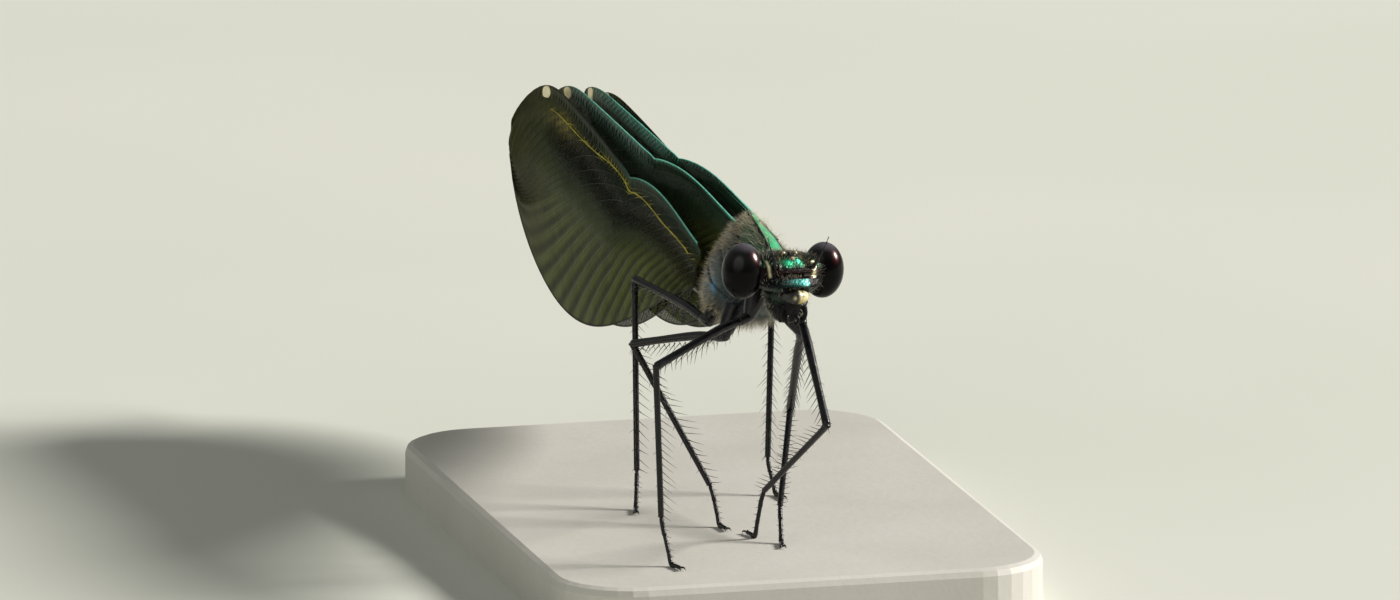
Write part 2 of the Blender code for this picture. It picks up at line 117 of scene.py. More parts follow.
# The slanting seams of the thorax's side: height at their front end, and slope
SEAMS_START = 2.6
SEAMS = ((-0.50, 0.42), (-1.35, 0.38), (-2.25, 0.30))

# The abdomen's segments: length, front and back radius
ABDOMEN_START = 9.1
SEGMENTS = (
    (0.95, 0.82, 0.84), (2.35, 0.85, 0.78), (5.40, 0.76, 0.72), (5.40, 0.72, 0.70), (5.00, 0.70, 0.70),
    (4.60, 0.70, 0.72), (3.80, 0.73, 0.78), (2.20, 0.79, 0.82), (1.70, 0.82, 0.76), (1.15, 0.74, 0.54),
)
SEGMENT_ENDS = np.cumsum([0.0] + [length for length, _, _ in SEGMENTS])
ABDOMEN_IN_THORAX = 0.35
ABDOMEN_CURVE = (-2.95, -2.70, 4.10)

# The wings' blades. Places along them are parts of their length, and sizes are millimetres.
LEADING_STRAIGHT = 0.78
WIDEST_AT = 0.67
LEADING_ROUNDNESS = 2.3
TRAILING_ROUNDNESS = 1.95
ROOT_TAPER = 1.13
NODUS = 0.40
ARCH_BEFORE_NODUS = 0.42
LEAN_SETTLES_AT = 0.42
FLARE_SETTLES_AT = 0.45
MEMBRANE_END = 0.998
SPOT_SPAN = (0.878, 0.914)
SPOT_MIDDLE = 0.042
SPOT_WIDTH = 0.080
# Each side's three values: how far out the front edge is, how far the blade leans, how it rises
# lit_to is how far along the wing the front veins carry a painted highlight.
FOREWING = {
    "root": (0.0, 6.2, 0.92), "length": 31.6, "chord": 9.1, "root_chord": 2.0, "tip_drop": 3.3,
    "nodus_dip": 0.05, "out_at_root": 0.42, "flare_at_root": 1.05,
    "clear_at": 3.0, "opacity": 0.88, "clear_margin": 0.20, "lit_to": 0.95,
    "right": (0.90, 0.50, math.radians(1.3)), "left": (0.02, 1.16, math.radians(1.1)),
}
HINDWING = {
    "root": (0.0, 7.9, -0.35), "length": 30.9, "chord": 8.7, "root_chord": 2.0, "tip_drop": 3.4,
    "nodus_dip": 0.40, "out_at_root": 1.70, "flare_at_root": 0.42,
    "clear_at": 1.6, "opacity": 0.985, "clear_margin": 0.0, "lit_to": 0.50,
    "right": (1.56, 1.00, math.radians(3.7)), "left": (1.04, 1.15, math.radians(2.7)),
}
# The long veins leave the stem, a part of the chord down, at even steps along the wing, and bend.
# Every fourth one lies in a fold.
VEIN_STEP = 0.0115
FOLD = 4 * VEIN_STEP
STEM = 0.10
VEIN_BEND = 0.60
# The straight veins in front: part of the chord, reach, radius and how much it thins
FRONT_VEINS = ((0.0, 1.0, 0.036, 0.40), (0.034, NODUS, 0.024, 0.5),
               (0.075, 0.95, 0.032, 0.4), (0.10, 0.93, 0.022, 0.5))
# The rows of cross veins between them: from and to which part of the chord, start, end, gap in mm
FRONT_ROWS = ((0.0, 0.034, 0.02, NODUS, 0.42), (0.0, 0.075, NODUS, 0.95, 0.46),
              (0.034, 0.075, 0.02, NODUS, 0.42), (0.075, 0.10, 0.05, 0.93, 0.5))

# The legs' joints: root, hip, knee, ankle, then where the foot comes down and where its claws end
LEGS = {
    "fore_right": ((-0.62, 1.95, -1.10), (-1.15, 1.60, -2.30), (-5.90, -0.60, -3.80),
                   (-5.75, -0.90, -10.60), (-5.50, -1.70), (-5.30, -2.50)),
    "fore_left": ((0.62, 1.95, -1.10), (1.15, 1.60, -2.30), (1.25, -2.60, -6.40),
                  (-0.40, 2.10, -10.30), (-0.60, 2.70), (-0.75, 3.50)),
    "mid_right": ((-1.00, 4.30, -2.30), (-1.75, 3.70, -3.60), (-4.20, 10.20, -5.20),
                  (-1.70, 6.00, -10.90), (-1.55, 5.20), (-1.45, 4.40)),
    "mid_left": ((1.00, 4.30, -2.30), (1.75, 3.70, -3.60), (2.70, 9.20, -8.30),
                 (0.45, 2.40, -11.10), (0.25, 1.40), (0.10, 0.55)),
    "hind_right": ((-0.90, 7.00, -2.60), (-1.75, 6.40, -3.50), (-3.30, 13.30, -3.00),
                   (-4.00, 10.20, -11.10), (-4.25, 9.40), (-4.45, 8.60)),
    "hind_left": ((0.90, 7.00, -2.60), (1.75, 6.40, -3.50), (3.20, 14.20, -3.40),
                  (2.25, 11.40, -11.10), (2.40, 10.60), (2.50, 9.80)),
}
# How far the middle of a foot is above the base: its radius and a hair's breadth
FOOT_HEIGHT = 0.11 + 0.01

# How wide each hair's patch is on the map that hair colours are baked to
PATCH = 0.003


def to_linear(hex_colour):
    """Turn an sRGB hex colour into the linear values that shaders take."""
    parts = [int(hex_colour[at:at + 2], 16) / 255 for at in (1, 3, 5)]
    return np.array([part / 12.92 if part <= 0.04045 else ((part + 0.055) / 1.055) ** 2.4
                     for part in parts])


def add_node(tree, kind, settings=None, inputs=None, stops=None):
    """Add a shader node, set its options and stops, and give its inputs their values or links."""
    node = tree.nodes.new(kind)
    for name, value in (settings or {}).items():
        setattr(node, name, value)
    for name, value in (inputs or {}).items():
        if isinstance(value, bpy.types.NodeSocket):
            tree.links.new(value, node.inputs[name])
        else:
            node.inputs[name].default_value = value
    for number, (place, colour) in enumerate(stops or ()):
        row = node.color_ramp.elements
        stop = row[number] if number < 2 else row.new(place)
        stop.position = place
        stop.color = (*to_linear(colour), 1.0)
    return node


def start_material(name):
    """Open an empty material. Give it with its node tree and the piece's own places."""
    material = bpy.data.materials.new(name)
    material.use_nodes = True
    tree = material.node_tree
    tree.nodes.clear()
    return material, tree, add_node(tree, "ShaderNodeTexCoord").outputs["Object"]


def finish_material(tree, inputs):
    """Close a material with its Principled shader."""
    shader = add_node(tree, "ShaderNodeBsdfPrincipled", None, inputs)
    add_node(tree, "ShaderNodeOutputMaterial", None, {"Surface": shader.outputs[0]})


def read_tint(tree):
    """Read the tint that is painted on a piece."""
    return add_node(tree, "ShaderNodeAttribute", {"attribute_name": "tint"})


def add_noise(tree, place, size_mm, detail, roughness=0.5):
    """Add a noise whose patches are this many millimetres wide."""
    return add_node(tree, "ShaderNodeTexNoise", None,
                    {"Vector": place, "Scale": 1 / (size_mm * MM), "Detail": detail,
                     "Roughness": roughness}).outputs[0]


def add_cells(tree, place, size_mm, randomness=1.0):
    """Add round cells this many millimetres wide, and give how far a place is from its cell's middle."""
    return add_node(tree, "ShaderNodeTexVoronoi", {"feature": "F1"},
                    {"Vector": place, "Scale": 1 / (size_mm * MM),
                     "Randomness": randomness}).outputs["Distance"]


def map_range(tree, value, low, high, start=0.3, end=0.7):
    """Turn a value from start to end, at first a noise's usual range, into one from low to high."""
    return add_node(tree, "ShaderNodeMapRange", None,
                    {0: value, 1: start, 2: end, 3: low, 4: high}).outputs[0]


def shade(tree, colour, amount):
    """Make a colour lighter or darker by an amount."""
    return add_node(tree, "ShaderNodeVectorMath", {"operation": "SCALE"},
                    {0: colour, "Scale": amount}).outputs[0]


def add_bump(tree, height, strength, depth_mm, invert=False):
    """Turn a height into relief this many millimetres deep."""
    return add_node(tree, "ShaderNodeBump", {"invert": invert},
                    {"Height": height, "Strength": strength, "Distance": depth_mm * MM}).outputs[0]


def painted_cuticle(name, roughness, metallic, patch_mm, contrast, grain_mm, grain_depth_mm,
                    ior=1.56, level=0.5):
    """Insect cuticle in its painted tint, made uneven in colour, gloss and relief at real sizes."""
    material, tree, place = start_material(name)
    patches = add_noise(tree, place, patch_mm, 4.0, 0.6)
    colour = shade(tree, read_tint(tree).outputs["Color"],
                   map_range(tree, patches, 1 - contrast, 1 + contrast))
    relief = add_bump(tree, add_cells(tree, place, grain_mm), 0.6, grain_depth_mm)
    gloss = map_range(tree, patches, roughness - 0.07, roughness + 0.07)
    finish_material(tree, {"Base Color": colour, "Roughness": gloss, "Metallic": metallic, "IOR": ior,
                           "Specular IOR Level": level, "Normal": relief})
    return material


def make_finishes():
    """Make every finish of the model: its material, paired with a slot name."""
    looks = {}
    for key, slot, *values in (
            # Thorax, head and abdomen plates: chitin whose stacked layers reflect metallic green and
            # bronze. It gives a hard coloured gleam, broken by fine punctures.
            ("green", "metallic_green_cuticle", "layered_green_cuticle",
             0.34, 0.80, 0.45, 0.30, 0.07, 0.020, 1.50),
            # Jaws: thick tanned chitin, satin and nearly black, with a fine leathery net.
            # The waxy bloom on it keeps its reflection low.
            ("black", "black_cuticle", "tanned_black_cuticle",
             0.38, 0.0, 0.30, 0.25, 0.05, 0.010, 1.56, 0.13),
            # Legs and feelers: the same chitin with less bloom, so that light runs along them.
            ("leg", "black_cuticle", "glossy_black_leg_cuticle",
             0.30, 0.0, 0.30, 0.25, 0.05, 0.008, 1.56, 0.30),
            # Lip plate: untanned chitin, waxy and smooth.
            ("cream", "cream_lip", "pale_cream_cuticle", 0.30, 0.0, 0.25, 0.10, 0.06, 0.006, 1.54),
            # Ocelli: single clear lenses over a pale floor, like small glass beads.
            ("ocellus", "cream_lip", "ocellus_lens", 0.10, 0.0, 0.20, 0.10, 0.05, 0.001),
            # Thorax and face hair: hollow untanned bristles, pale and dry, which look like a haze.
            ("hair", "black_cuticle", "pale_body_hair", 0.55, 0.0, 0.60, 0.15, 0.05, 0.001, 1.55),
            # Leg bristles: stiff black chitin spines with a shine along them.
            ("bristle", "black_cuticle", "black_leg_bristle", 0.35, 0.0, 0.40, 0.15, 0.05, 0.001),
            # Wing spots: cells filled with waxy pigment, so that they are opaque with a low sheen.
            ("wing_spot", "cream_lip", "cream_wing_spot", 0.35, 0.15, 0.20, 0.15, 0.05, 0.006)):
        looks[key] = painted_cuticle(*values), slot
    looks["eye"] = make_eye_finish(), "dark_brown_eye"
    looks["membrane"] = make_membrane_finish(), "smoky_wing"
    looks["vein"] = make_vein_finish(), "smoky_wing"
    return looks


def make_eye_finish():
    """Compound eye: thousands of clear chitin lenses over dark pigment, polished and very deep.

    The specular level is higher above, where the photograph's eyes hold a white gleam, and nearly
    nothing below, where they show next to no reflection.
    """
    material, tree, place = start_material("compound_eye_lenses")
    # Real lenses are 0.03 to 0.04 mm across. They are drawn 0.07 mm across, the finest that shows.
    lenses = add_cells(tree, place, 0.07, 0.35)
    colour = shade(tree, read_tint(tree).outputs["Color"], map_range(tree, lenses, 1.1, 0.72, 0.2, 0.7))
    height = add_node(tree, "ShaderNodeSeparateXYZ", None, {0: place}).outputs["Z"]
    shine = map_range(tree, height, 0.08, 0.34, HEAD_MIDDLE.z + 0.35 * MM, HEAD_MIDDLE.z + 0.85 * MM)
    finish_material(tree, {"Base Color": colour, "Roughness": 0.22, "IOR": 1.56,
                           "Specular IOR Level": shine, "Normal": add_bump(tree, lenses, 0.15, 0.006, True)})
    return material


def make_membrane_finish():
    """Wing membrane: a two-ply film of smoky chitin, clear enough to show what is behind it."""
    material, tree, place = start_material("smoky_wing_membrane")
    tint = read_tint(tree)
    cloud = add_noise(tree, place, 1.6, 5.0, 0.62)
    colour = shade(tree, tint.outputs["Color"], map_range(tree, cloud, 0.78, 1.22))
    # The film cockles a little inside each cell of the veins, about 0.4 mm across.
    relief = add_bump(tree, add_noise(tree, place, 0.4, 2.0), 0.5, 0.06)
    clear = add_node(tree, "ShaderNodeMath", {"operation": "MULTIPLY"},
                     {0: tint.outputs["Alpha"], 1: map_range(tree, cloud, 0.97, 1.03)})
    # So thin a film has little gloss of its own, so its specular level is almost nothing.
    finish_material(tree, {"Base Color": colour, "Roughness": 0.42, "IOR": 1.56,
                           "Specular IOR Level": 0.02, "Normal": relief, "Alpha": clear.outputs[0]})
    return material


def make_vein_finish():
    """Wing veins: tanned tubes, ringed in colour and gloss, whose gleam is in their painted tint."""
    material, tree, place = start_material("gleaming_wing_vein")
    rings = add_noise(tree, place, 0.25, 3.0)
    colour = shade(tree, read_tint(tree).outputs["Color"], map_range(tree, rings, 0.7, 1.3))
    finish_material(tree, {"Base Color": colour, "Roughness": map_range(tree, rings, 0.26, 0.42),
                           "Metallic": 0.04, "IOR": 1.56, "Specular IOR Level": 0.03})
    return material


def make_base_finish():
    """The added base: cast plastic, sprayed matt off-white, with a fine orange-peel skin."""
    material, tree, place = start_material("matt_white_cast_plastic")
    peel = add_noise(tree, place, 0.35, 2.0)
    cast = add_noise(tree, place, 6.0, 3.0)
    colour = add_node(tree, "ShaderNodeValToRGB", None, {0: cast}, [(0.3, "#c6c4bd"), (0.7, "#cfcdc7")])
    finish_material(tree, {"Base Color": colour.outputs[0], "Roughness": map_range(tree, peel, 0.48, 0.60),
                           "IOR": 1.49, "Normal": add_bump(tree, peel, 0.5, 0.02)})
    return material


def make_floor_finish():
    """The floor: smooth matt board, pale, with a barely uneven tone 50 mm wide."""
    material, tree, place = start_material("pale_matt_board")
    tone = add_noise(tree, place, 50.0, 2.0)
    colour = add_node(tree, "ShaderNodeValToRGB", None, {0: tone}, [(0.3, "#cfd2c9"), (0.7, "#d4d6ce")])
    finish_material(tree, {"Base Color": colour.outputs[0], "Roughness": 0.9})
    return material


def wrap(bm, columns, rows, shape, closed=True):
    """Bend a flat grid in bm into a skin. shape gives the places for its parts along and around."""
    flat = bmesh.ops.create_grid(bm, x_segments=columns, y_segments=rows, size=0.5)["verts"]
    parts = np.array([(vert.co.x + 0.5, vert.co.y + 0.5) for vert in flat])
    unwrap = bm.loops.layers.uv.get("skin") or bm.loops.layers.uv.new("skin")
    for vert, part, place in zip(flat, parts, shape(*parts.T)):
        for loop in vert.link_loops:
            loop[unwrap].uv = part
        vert.co = place
    if closed:
        bmesh.ops.remove_doubles(bm, verts=flat, dist=0.0005)


def read(items, field, width, kind=np.float32):
    """Read one field of every item in a mesh's list, as the rows of an array."""
    values = np.zeros(len(items) * width, kind)
    items.foreach_get(field, values)
    return values.reshape(-1, width)


def paint(mesh, colours):
    """Store a mesh's tint: one linear colour or one for each vertex, with an opacity if it is given."""
    layer = mesh.color_attributes.new("tint", "FLOAT_COLOR", "POINT")
    full = np.ones((len(mesh.vertices), 4), np.float32)
    full[:, :colours.shape[-1]] = colours
    layer.data.foreach_set("color", full.ravel())


def add_object(name, data):
    """Put an object in the scene."""
    thing = bpy.data.objects.new(name, data)
    bpy.context.scene.collection.objects.link(thing)
    return thing


def make_mesh(name, bm):
    """Turn a bmesh into a mesh and free it."""
    mesh = bpy.data.meshes.new(name)
    bm.to_mesh(mesh)
    bm.free()
    return mesh


def add_piece(name, mesh, look, stands_for=()):
    """Put a mesh in the scene as a smooth piece of the model."""
    material, slot = look
    mesh.shade_smooth()
    mesh.materials.append(material)
    piece = add_object(name, mesh)
    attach(piece, "root")
    for node in stands_for:
        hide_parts(node)
    return piece


def finish_piece(name, bm, frame, look, tint, relief=None, stands_for=()):
    """Make a bmesh in millimetres a piece in its place, with its relief.

    Its tint is one hex colour, or a function that gives a colour for each place.
    """
    bmesh.ops.recalc_face_normals(bm, faces=bm.faces)
    mesh = make_mesh(name, bm)
    places = read(mesh.vertices, "co", 3).astype(float)
    if relief is not None:
        lifted = places + read(mesh.vertex_normals, "vector", 3) * relief(places)[:, None]
        mesh.vertices.foreach_set("co", lifted.astype(np.float32).ravel())
    paint(mesh, to_linear(tint) if isinstance(tint, str) else tint(places))
    mesh.transform(frame @ Matrix.Scale(MM, 4))
    return add_piece(name, mesh, look, stands_for)


def blend(first, second, amount):
    """Mix two colours, each a hex one or an array, by an amount for each place."""
    first, second = (to_linear(colour) if isinstance(colour, str) else colour for colour in (first, second))
    amount = np.clip(amount, 0, 1)[:, None]
    return first * (1 - amount) + second * amount


def lay_over(colour, *layers):
    """Blend layers over a colour one after another, each a colour and its amount for each place."""
    for layer, amount in layers:
        colour = blend(colour, layer, amount)
    return colour


def ramp(low, high, value):
    """Rise smoothly from 0 at low to 1 at high."""
    part = np.clip((value - low) / (high - low), 0, 1)
    return part * part * (3 - 2 * part)


def hump(value, middle, width):
    """Give a soft hump of height 1 at middle."""
    return np.exp(-((value - middle) / width) ** 2)


def speckle(first, second):
    """Give a speckled pattern from 0 to 1, from two angles."""
    return 0.5 + 0.5 * np.sin(first) * np.sin(second)


def unit(vectors):
    """Scale vectors to length 1."""
    return vectors / (np.linalg.norm(vectors, axis=-1, keepdims=True) + TINY)


def read_cuts(cuts, along):
    """Read a row of cuts at parts of its length, on a smooth curve through them."""
    rows = np.array(cuts)
    padded = np.vstack([2 * rows[0] - rows[1], rows, 2 * rows[-1] - rows[-2]])
    spot = along * (len(rows) - 1)
    start = np.minimum(spot.astype(int), len(rows) - 2)
    part = (spot - start)[:, None]
    before, first, second, after = (padded[start + step] for step in range(4))
    return 0.5 * (2 * first + (second - before) * part
                  + (2 * before - 5 * first + 4 * second - after) * part ** 2
                  + (3 * first - before - 3 * second + after) * part ** 3).T


def squared_circle(around, top_power, bottom_power):
    """Give a circle's two coordinates, squared off by one power above and one below."""
    angle = around * 2 * np.pi
    power = np.where(np.sin(angle) > 0, top_power, bottom_power)
    return (np.sign(side) * np.abs(side) ** (2 / power) for side in (np.cos(angle), np.sin(angle)))


def end_rounding(along, share):
    """Close both ends of a wrapped body, each over this share of its length."""
    near = np.minimum(along, 1 - along) / share
    return np.sqrt(1 - (1 - np.clip(near, 0, 1)) ** 2)


def level_skin(cuts, power, share):
    """Give the shape of a skin laid through level cuts, for wrap."""
    def shape(along, around):
        height, half_width, front, back = read_cuts(cuts, along)
        across, forward = squared_circle(around, power, power)
        closing = end_rounding(along, share)
        return np.stack([half_width * across * closing,
                         (front + back) / 2 + (back - front) / 2 * forward * closing, height], 1)
    return shape


def trunk_skin(along, around):
    """Give the shape of the trunk's skin, through its upright cuts."""
    place, top, bottom, half_width, widest = read_cuts(TRUNK_CUTS, along)
    across, upward = squared_circle(around, TRUNK_TOP_POWER, TRUNK_BOTTOM_POWER)
    closing = end_rounding(along, 0.02)
    reach = np.where(upward > 0, top - widest, widest - bottom)
    return np.stack([half_width * across * closing, place, widest + reach * upward * closing], 1)


def across_path(path):
    """Give two directions across a path at each of its points."""
    direction = unit(np.gradient(path, axis=-2))
    first = unit(np.cross(direction, (0.31, -0.22, 0.93)))
    return first, np.cross(direction, first)


def add_limb(bm, points, radii, rings, sides, side=1, share=0.06):
    """Wrap one round-ended limb about a smooth curve through points, with a radius for each of them.

    A side of -1 turns the points over to the right. share is how much of the length each end takes.
    """
    path = read_cuts(np.array(points) * (side, 1, 1), np.linspace(0, 1, rings + 1)).T
    first, second = across_path(path)

    def shape(along, around):
        at = np.rint(along * rings).astype(int)
        angle = around * 2 * np.pi
        radius = read_cuts(np.array(radii)[:, None], along)[0] * end_rounding(along, share)
        return (path[at] + first[at] * (np.cos(angle) * radius)[:, None]
                + second[at] * (np.sin(angle) * radius)[:, None])
    wrap(bm, rings, sides, shape)


def head_relief(place):
    """Give the height of the head's forms over its plain skin: lip plate, furrows, sockets, mound."""
    x, y, z = place.T
    wide = np.abs(x)
    plate = ramp(0.90, 0.80, wide) * ramp(-0.54, -0.47, z) * ramp(-0.08, -0.15, z)
    shelf = ramp(0.95, 0.86, wide) * ramp(0.02, 0.10, z) * ramp(0.34, 0.22, z)
    furrow = hump(z, -0.02, 0.05) * ramp(1.2, 0.9, wide)
    below = hump(z, -0.62, 0.07) * ramp(1.0, 0.8, wide)
    socket = np.hypot(wide - 0.93, z - 0.36)
    face = (0.15 * plate + 0.07 * shelf - 0.06 * furrow - 0.05 * below
            + 0.05 * hump(socket, 0.18, 0.05) - 0.07 * hump(socket, 0.0, 0.12))
    mound = hump(x, 0, 0.33) * hump(y, -0.42, 0.26) * ramp(0.4, 0.6, z)
    hollow = hump(wide, 0.50, 0.14) * hump(y, -0.60, 0.18) * ramp(0.3, 0.5, z)
    nape = hump(x, 0, 0.05) * ramp(0.0, 0.3, y) * ramp(0.5, 0.7, z)
    return face * ramp(-0.35, -0.65, y) + 0.11 * mound - 0.07 * hollow - 0.03 * nape


def head_tint(place):
    """Paint the head: green-bronze crown, black face, teal plate above the lip, cream marks.

    Two bright green spots on the crown are painted glints. The teal plate is painted darker
    towards its right end and brighter towards its left, as painted shade and painted highlight.
    """
    x, y, z = place.T
    wide = np.abs(x)
    blotch = np.sin(x * 7.3 + 1.1) * np.sin(y * 8.9 - z * 4.0) + 0.6 * np.sin(x * 13.0 - y * 11.0)
    crown = lay_over("#0b1411", ("#11432e", ramp(0.0, 1.2, blotch)),
                     ("#4a4226", hump(wide, 0.55, 0.16) * hump(y, -0.5, 0.3) * 0.7),
                     # Two bright green spots on the crown: painted glints.
                     ("#3ee3a6", hump(x, -0.32, 0.20) * hump(y + 0.2 * x, -0.84, 0.10)),
                     ("#27a578", hump(x, 0.30, 0.16) * hump(y, -0.76, 0.10) * 0.8))
    ragged = speckle(z * 52 + 2.2 * np.sin(x * 9), x * 17 + 1.0)
    # Teal plate: darker towards the right end and brighter towards the left, as painted shade and painted
    # highlight.
    teal = lay_over("#061615", ("#0c3836", ramp(-0.95, -0.20, x)), ("#1c645c", ramp(-0.60, 0.05, x) * ragged),
                    ("#66b0a6", ramp(0.12, 0.38, x) * ragged))
    plate = ramp(0.86, 0.74, np.abs(x + 0.25)) * ramp(-0.49, -0.44, z) * ramp(-0.17, -0.23, z)
    streak = hump(np.abs(x + 0.10), 1.11 + 0.10 * (z - 0.3), np.where(x > 0, 0.10, 0.05))
    streak = streak * ramp(-0.16, -0.04, z) * ramp(0.62, 0.50, z) * ramp(-0.30, -0.45, y)
    cheek = ramp(0.55, 0.8, wide) * ramp(-0.50, -0.62, z) * ramp(-0.2, -0.5, y)
    return lay_over("#0b090c", (crown, ramp(0.24, 0.36, z)),
                    ("#1e0f0c", hump(z, 0.12, 0.09) * ramp(-0.4, -0.7, y) * 0.8),
                    (teal, plate * ramp(-0.3, -0.6, y)), ("#ece4b8", streak), ("#33443a", cheek * 0.8),
                    ("#3d4440", ramp(0.35, 0.75, y) * ramp(0.2, -0.2, z)))


def make_head(looks):
    """Make the head's skin with its ocelli."""
    bm = bmesh.new()
    wrap(bm, 150, 220, level_skin(HEAD_CUTS, HEAD_POWER, 0.03))
    head = finish_piece("head_skin", bm, HEAD_FRAME, looks["green"], head_tint, head_relief, ["head"])
    bm = bmesh.new()
    for *middle, size in ((0.0, -0.66, 0.68, 0.085), (-0.30, -0.36, 0.87, 0.08), (0.30, -0.36, 0.87, 0.08)):
        place = Matrix.Translation(middle) @ Matrix.Scale(size, 4)
        bmesh.ops.create_icosphere(bm, subdivisions=3, radius=1.0, matrix=place)
    finish_piece("ocelli", bm, HEAD_FRAME, looks["ocellus"], "#cdbb90")
    return head


def eye_tint(place):
    """Paint an eye: near black, pale along its top, red-brown round where the light passes in.

    The pale top is a painted sky reflection, the red-brown a painted glow, and the dark green
    along the bottom a painted reflection.
    """
    x, _, z = place.T
    middle = np.stack([np.sign(x) * EYE_SPREAD, 0 * x + EYE_SET_BACK, 0 * x], 1)
    out = unit((place - middle) / np.array(EYE_HALF_SIZE) ** 2)
    from_light = np.arccos(np.clip(out @ np.array(EYE_LIT_TOWARDS), -1, 1))
    # Painted light: red-brown glow round the lit spot, pale sky reflection on top, dark green reflection at
    # the bottom.
    return lay_over("#030203", ("#5a130c", hump(from_light, 0.0, 0.20)),
                    ("#645f68", ramp(0.86, 1.20, z) * 0.7), ("#0a1207", ramp(-1.0, -1.2, z)))


def make_eyes(looks):
    """Make both compound eyes, smooth and round, at the photographed size."""
    for side, word in SIDES:
        bm = bmesh.new()
        middle = Matrix.Translation((side * EYE_SPREAD, EYE_SET_BACK, 0))
        place = middle @ Matrix.Diagonal((*EYE_HALF_SIZE, 1.0))
        bmesh.ops.create_uvsphere(bm, u_segments=96, v_segments=64, radius=1.0, matrix=place)
        finish_piece("compound_eye_" + word, bm, HEAD_FRAME, looks["eye"], eye_tint, None, ["eye_" + word])


def jaw_relief(place):
    """Give the furrows that part the mandibles, maxillae and lower lip."""
    x, y, z = place.T
    wide = np.abs(x)
    mandible = hump(z, -1.42 + 0.35 * wide, 0.06) * ramp(0.3, 0.5, wide)
    maxilla = hump(wide, 0.42 + 0.12 * (z + 1.6), 0.05) * ramp(-1.3, -1.45, z)
    middle = hump(x, 0, 0.05) * ramp(-1.4, -1.6, z)
    belly = hump(wide, 0.66, 0.2) * hump(z, -1.1, 0.22)
    return ramp(0.0, -0.3, y) * (0.07 * belly - 0.09 * mandible - 0.09 * maxilla - 0.07 * middle)


def jaw_tint(place):
    """Paint the jaws: greenish-grey mandible bases, the rest black with brown edges."""
    x, y, z = place.T
    base = hump(np.abs(x), 0.72, 0.26) * hump(z, -1.02, 0.20) * ramp(0.1, -0.4, y)
    return lay_over("#040304", ("#2a3b30", base), ("#1a1412", ramp(-1.9, -2.15, z) * 0.7))


def lip_tint(place):
    """Paint the lip plate: black, with a cream patch on its left half and a pale dot beside it.

    Its right half stays black as painted shade.
    """
    x, _, z = place.T
    # The cream stops at the middle: the right half stays black as painted shade.
    patch = ramp(0.03, 0.10, x) * ramp(0.72, 0.64, x) * ramp(-1.25, -1.18, z) * ramp(-0.58, -0.66, z)
    patch = patch * (1 - hump(x, 0.26, 0.05) * ramp(-0.98, -0.80, z))
    dot = hump(x, -0.16, 0.06) * hump(z, -0.94, 0.08)
    grains = speckle(x * 31 + 1.5 * np.sin(z * 23), z * 27) * ramp(-1.2, -0.85, z)
    return blend("#0d0b0a", blend("#b9a452", "#efe9cf", grains), patch + dot)


def make_mouth(looks):
    """Make the jaws, the lip plate over them and their two pairs of palps."""
    bm = bmesh.new()
    wrap(bm, 90, 120, level_skin(JAW_CUTS, JAW_POWER, 0.10))
    jaws = finish_piece("jaws", bm, HEAD_FRAME, looks["black"], jaw_tint, jaw_relief, ["mouthparts"])
    bm = bmesh.new()
    place = Matrix.Translation((0.06, -1.04, -0.93)) @ Matrix.Diagonal((0.74, 0.46, 0.36, 1.0))
    bmesh.ops.create_uvsphere(bm, u_segments=64, v_segments=40, radius=1.0, matrix=place)
    for vert in bm.verts:
        vert.co.y += 0.25 * vert.co.x ** 2
    finish_piece("lip_plate", bm, HEAD_FRAME, looks["cream"], lip_tint, None, ["labrum"])
    bm = bmesh.new()
    for side, _ in SIDES:
        add_limb(bm, ((0.62, -0.94, -1.36), (0.64, -1.04, -1.72), (0.56, -1.02, -2.08)),
                 (0.11, 0.10, 0.07), 18, 10, side)
        add_limb(bm, ((0.22, -0.98, -1.75), (0.30, -1.08, -2.0), (0.16, -1.02, -2.22)),
                 (0.09, 0.08, 0.05), 14, 10, side)
    finish_piece("mouth_palps", bm, HEAD_FRAME, looks["black"], "#141012")
    return jaws


def make_antennae(looks):
    """Make both feelers: two stout joints, then a thin whip of four."""
    root, bend, tip = np.array(((0.93, -0.84, 0.34), (1.12, -1.04, 0.74), (1.52, -1.02, 1.70)))
    bow = np.array((0.10, 0, 0))
    whip = [bend * (1 - part) + tip * part + bow * part * (1 - part) for part in (0.0, 0.33, 0.6, 0.82, 1.0)]
    for side, word in SIDES:
        bm = bmesh.new()
        add_limb(bm, ((0.88, -0.72, 0.28), root, (0.98, -0.92, 0.46)), (0.12, 0.12, 0.10), 12, 12, side)
        add_limb(bm, ((0.97, -0.91, 0.43), (1.04, -0.98, 0.60), bend), (0.085, 0.09, 0.07), 12, 12, side)
        for first, second, size in zip(whip, whip[1:], (0.042, 0.034, 0.028, 0.022)):
            add_limb(bm, (first, (first + second) / 2, second), (size, size * 0.8, size), 8, 8, side)
        finish_piece("feeler_" + word, bm, HEAD_FRAME, looks["leg"], "#151114", None, ["antenna_" + word])


def above_seam(place, number):
    """Give how far a place is above one of the slanting seams of the thorax's side."""
    x, y, z = place.T
    start, slope = SEAMS[number]
    return np.where(np.abs(x) > 0.2, z - (start + slope * (y - SEAMS_START)), 9.0)


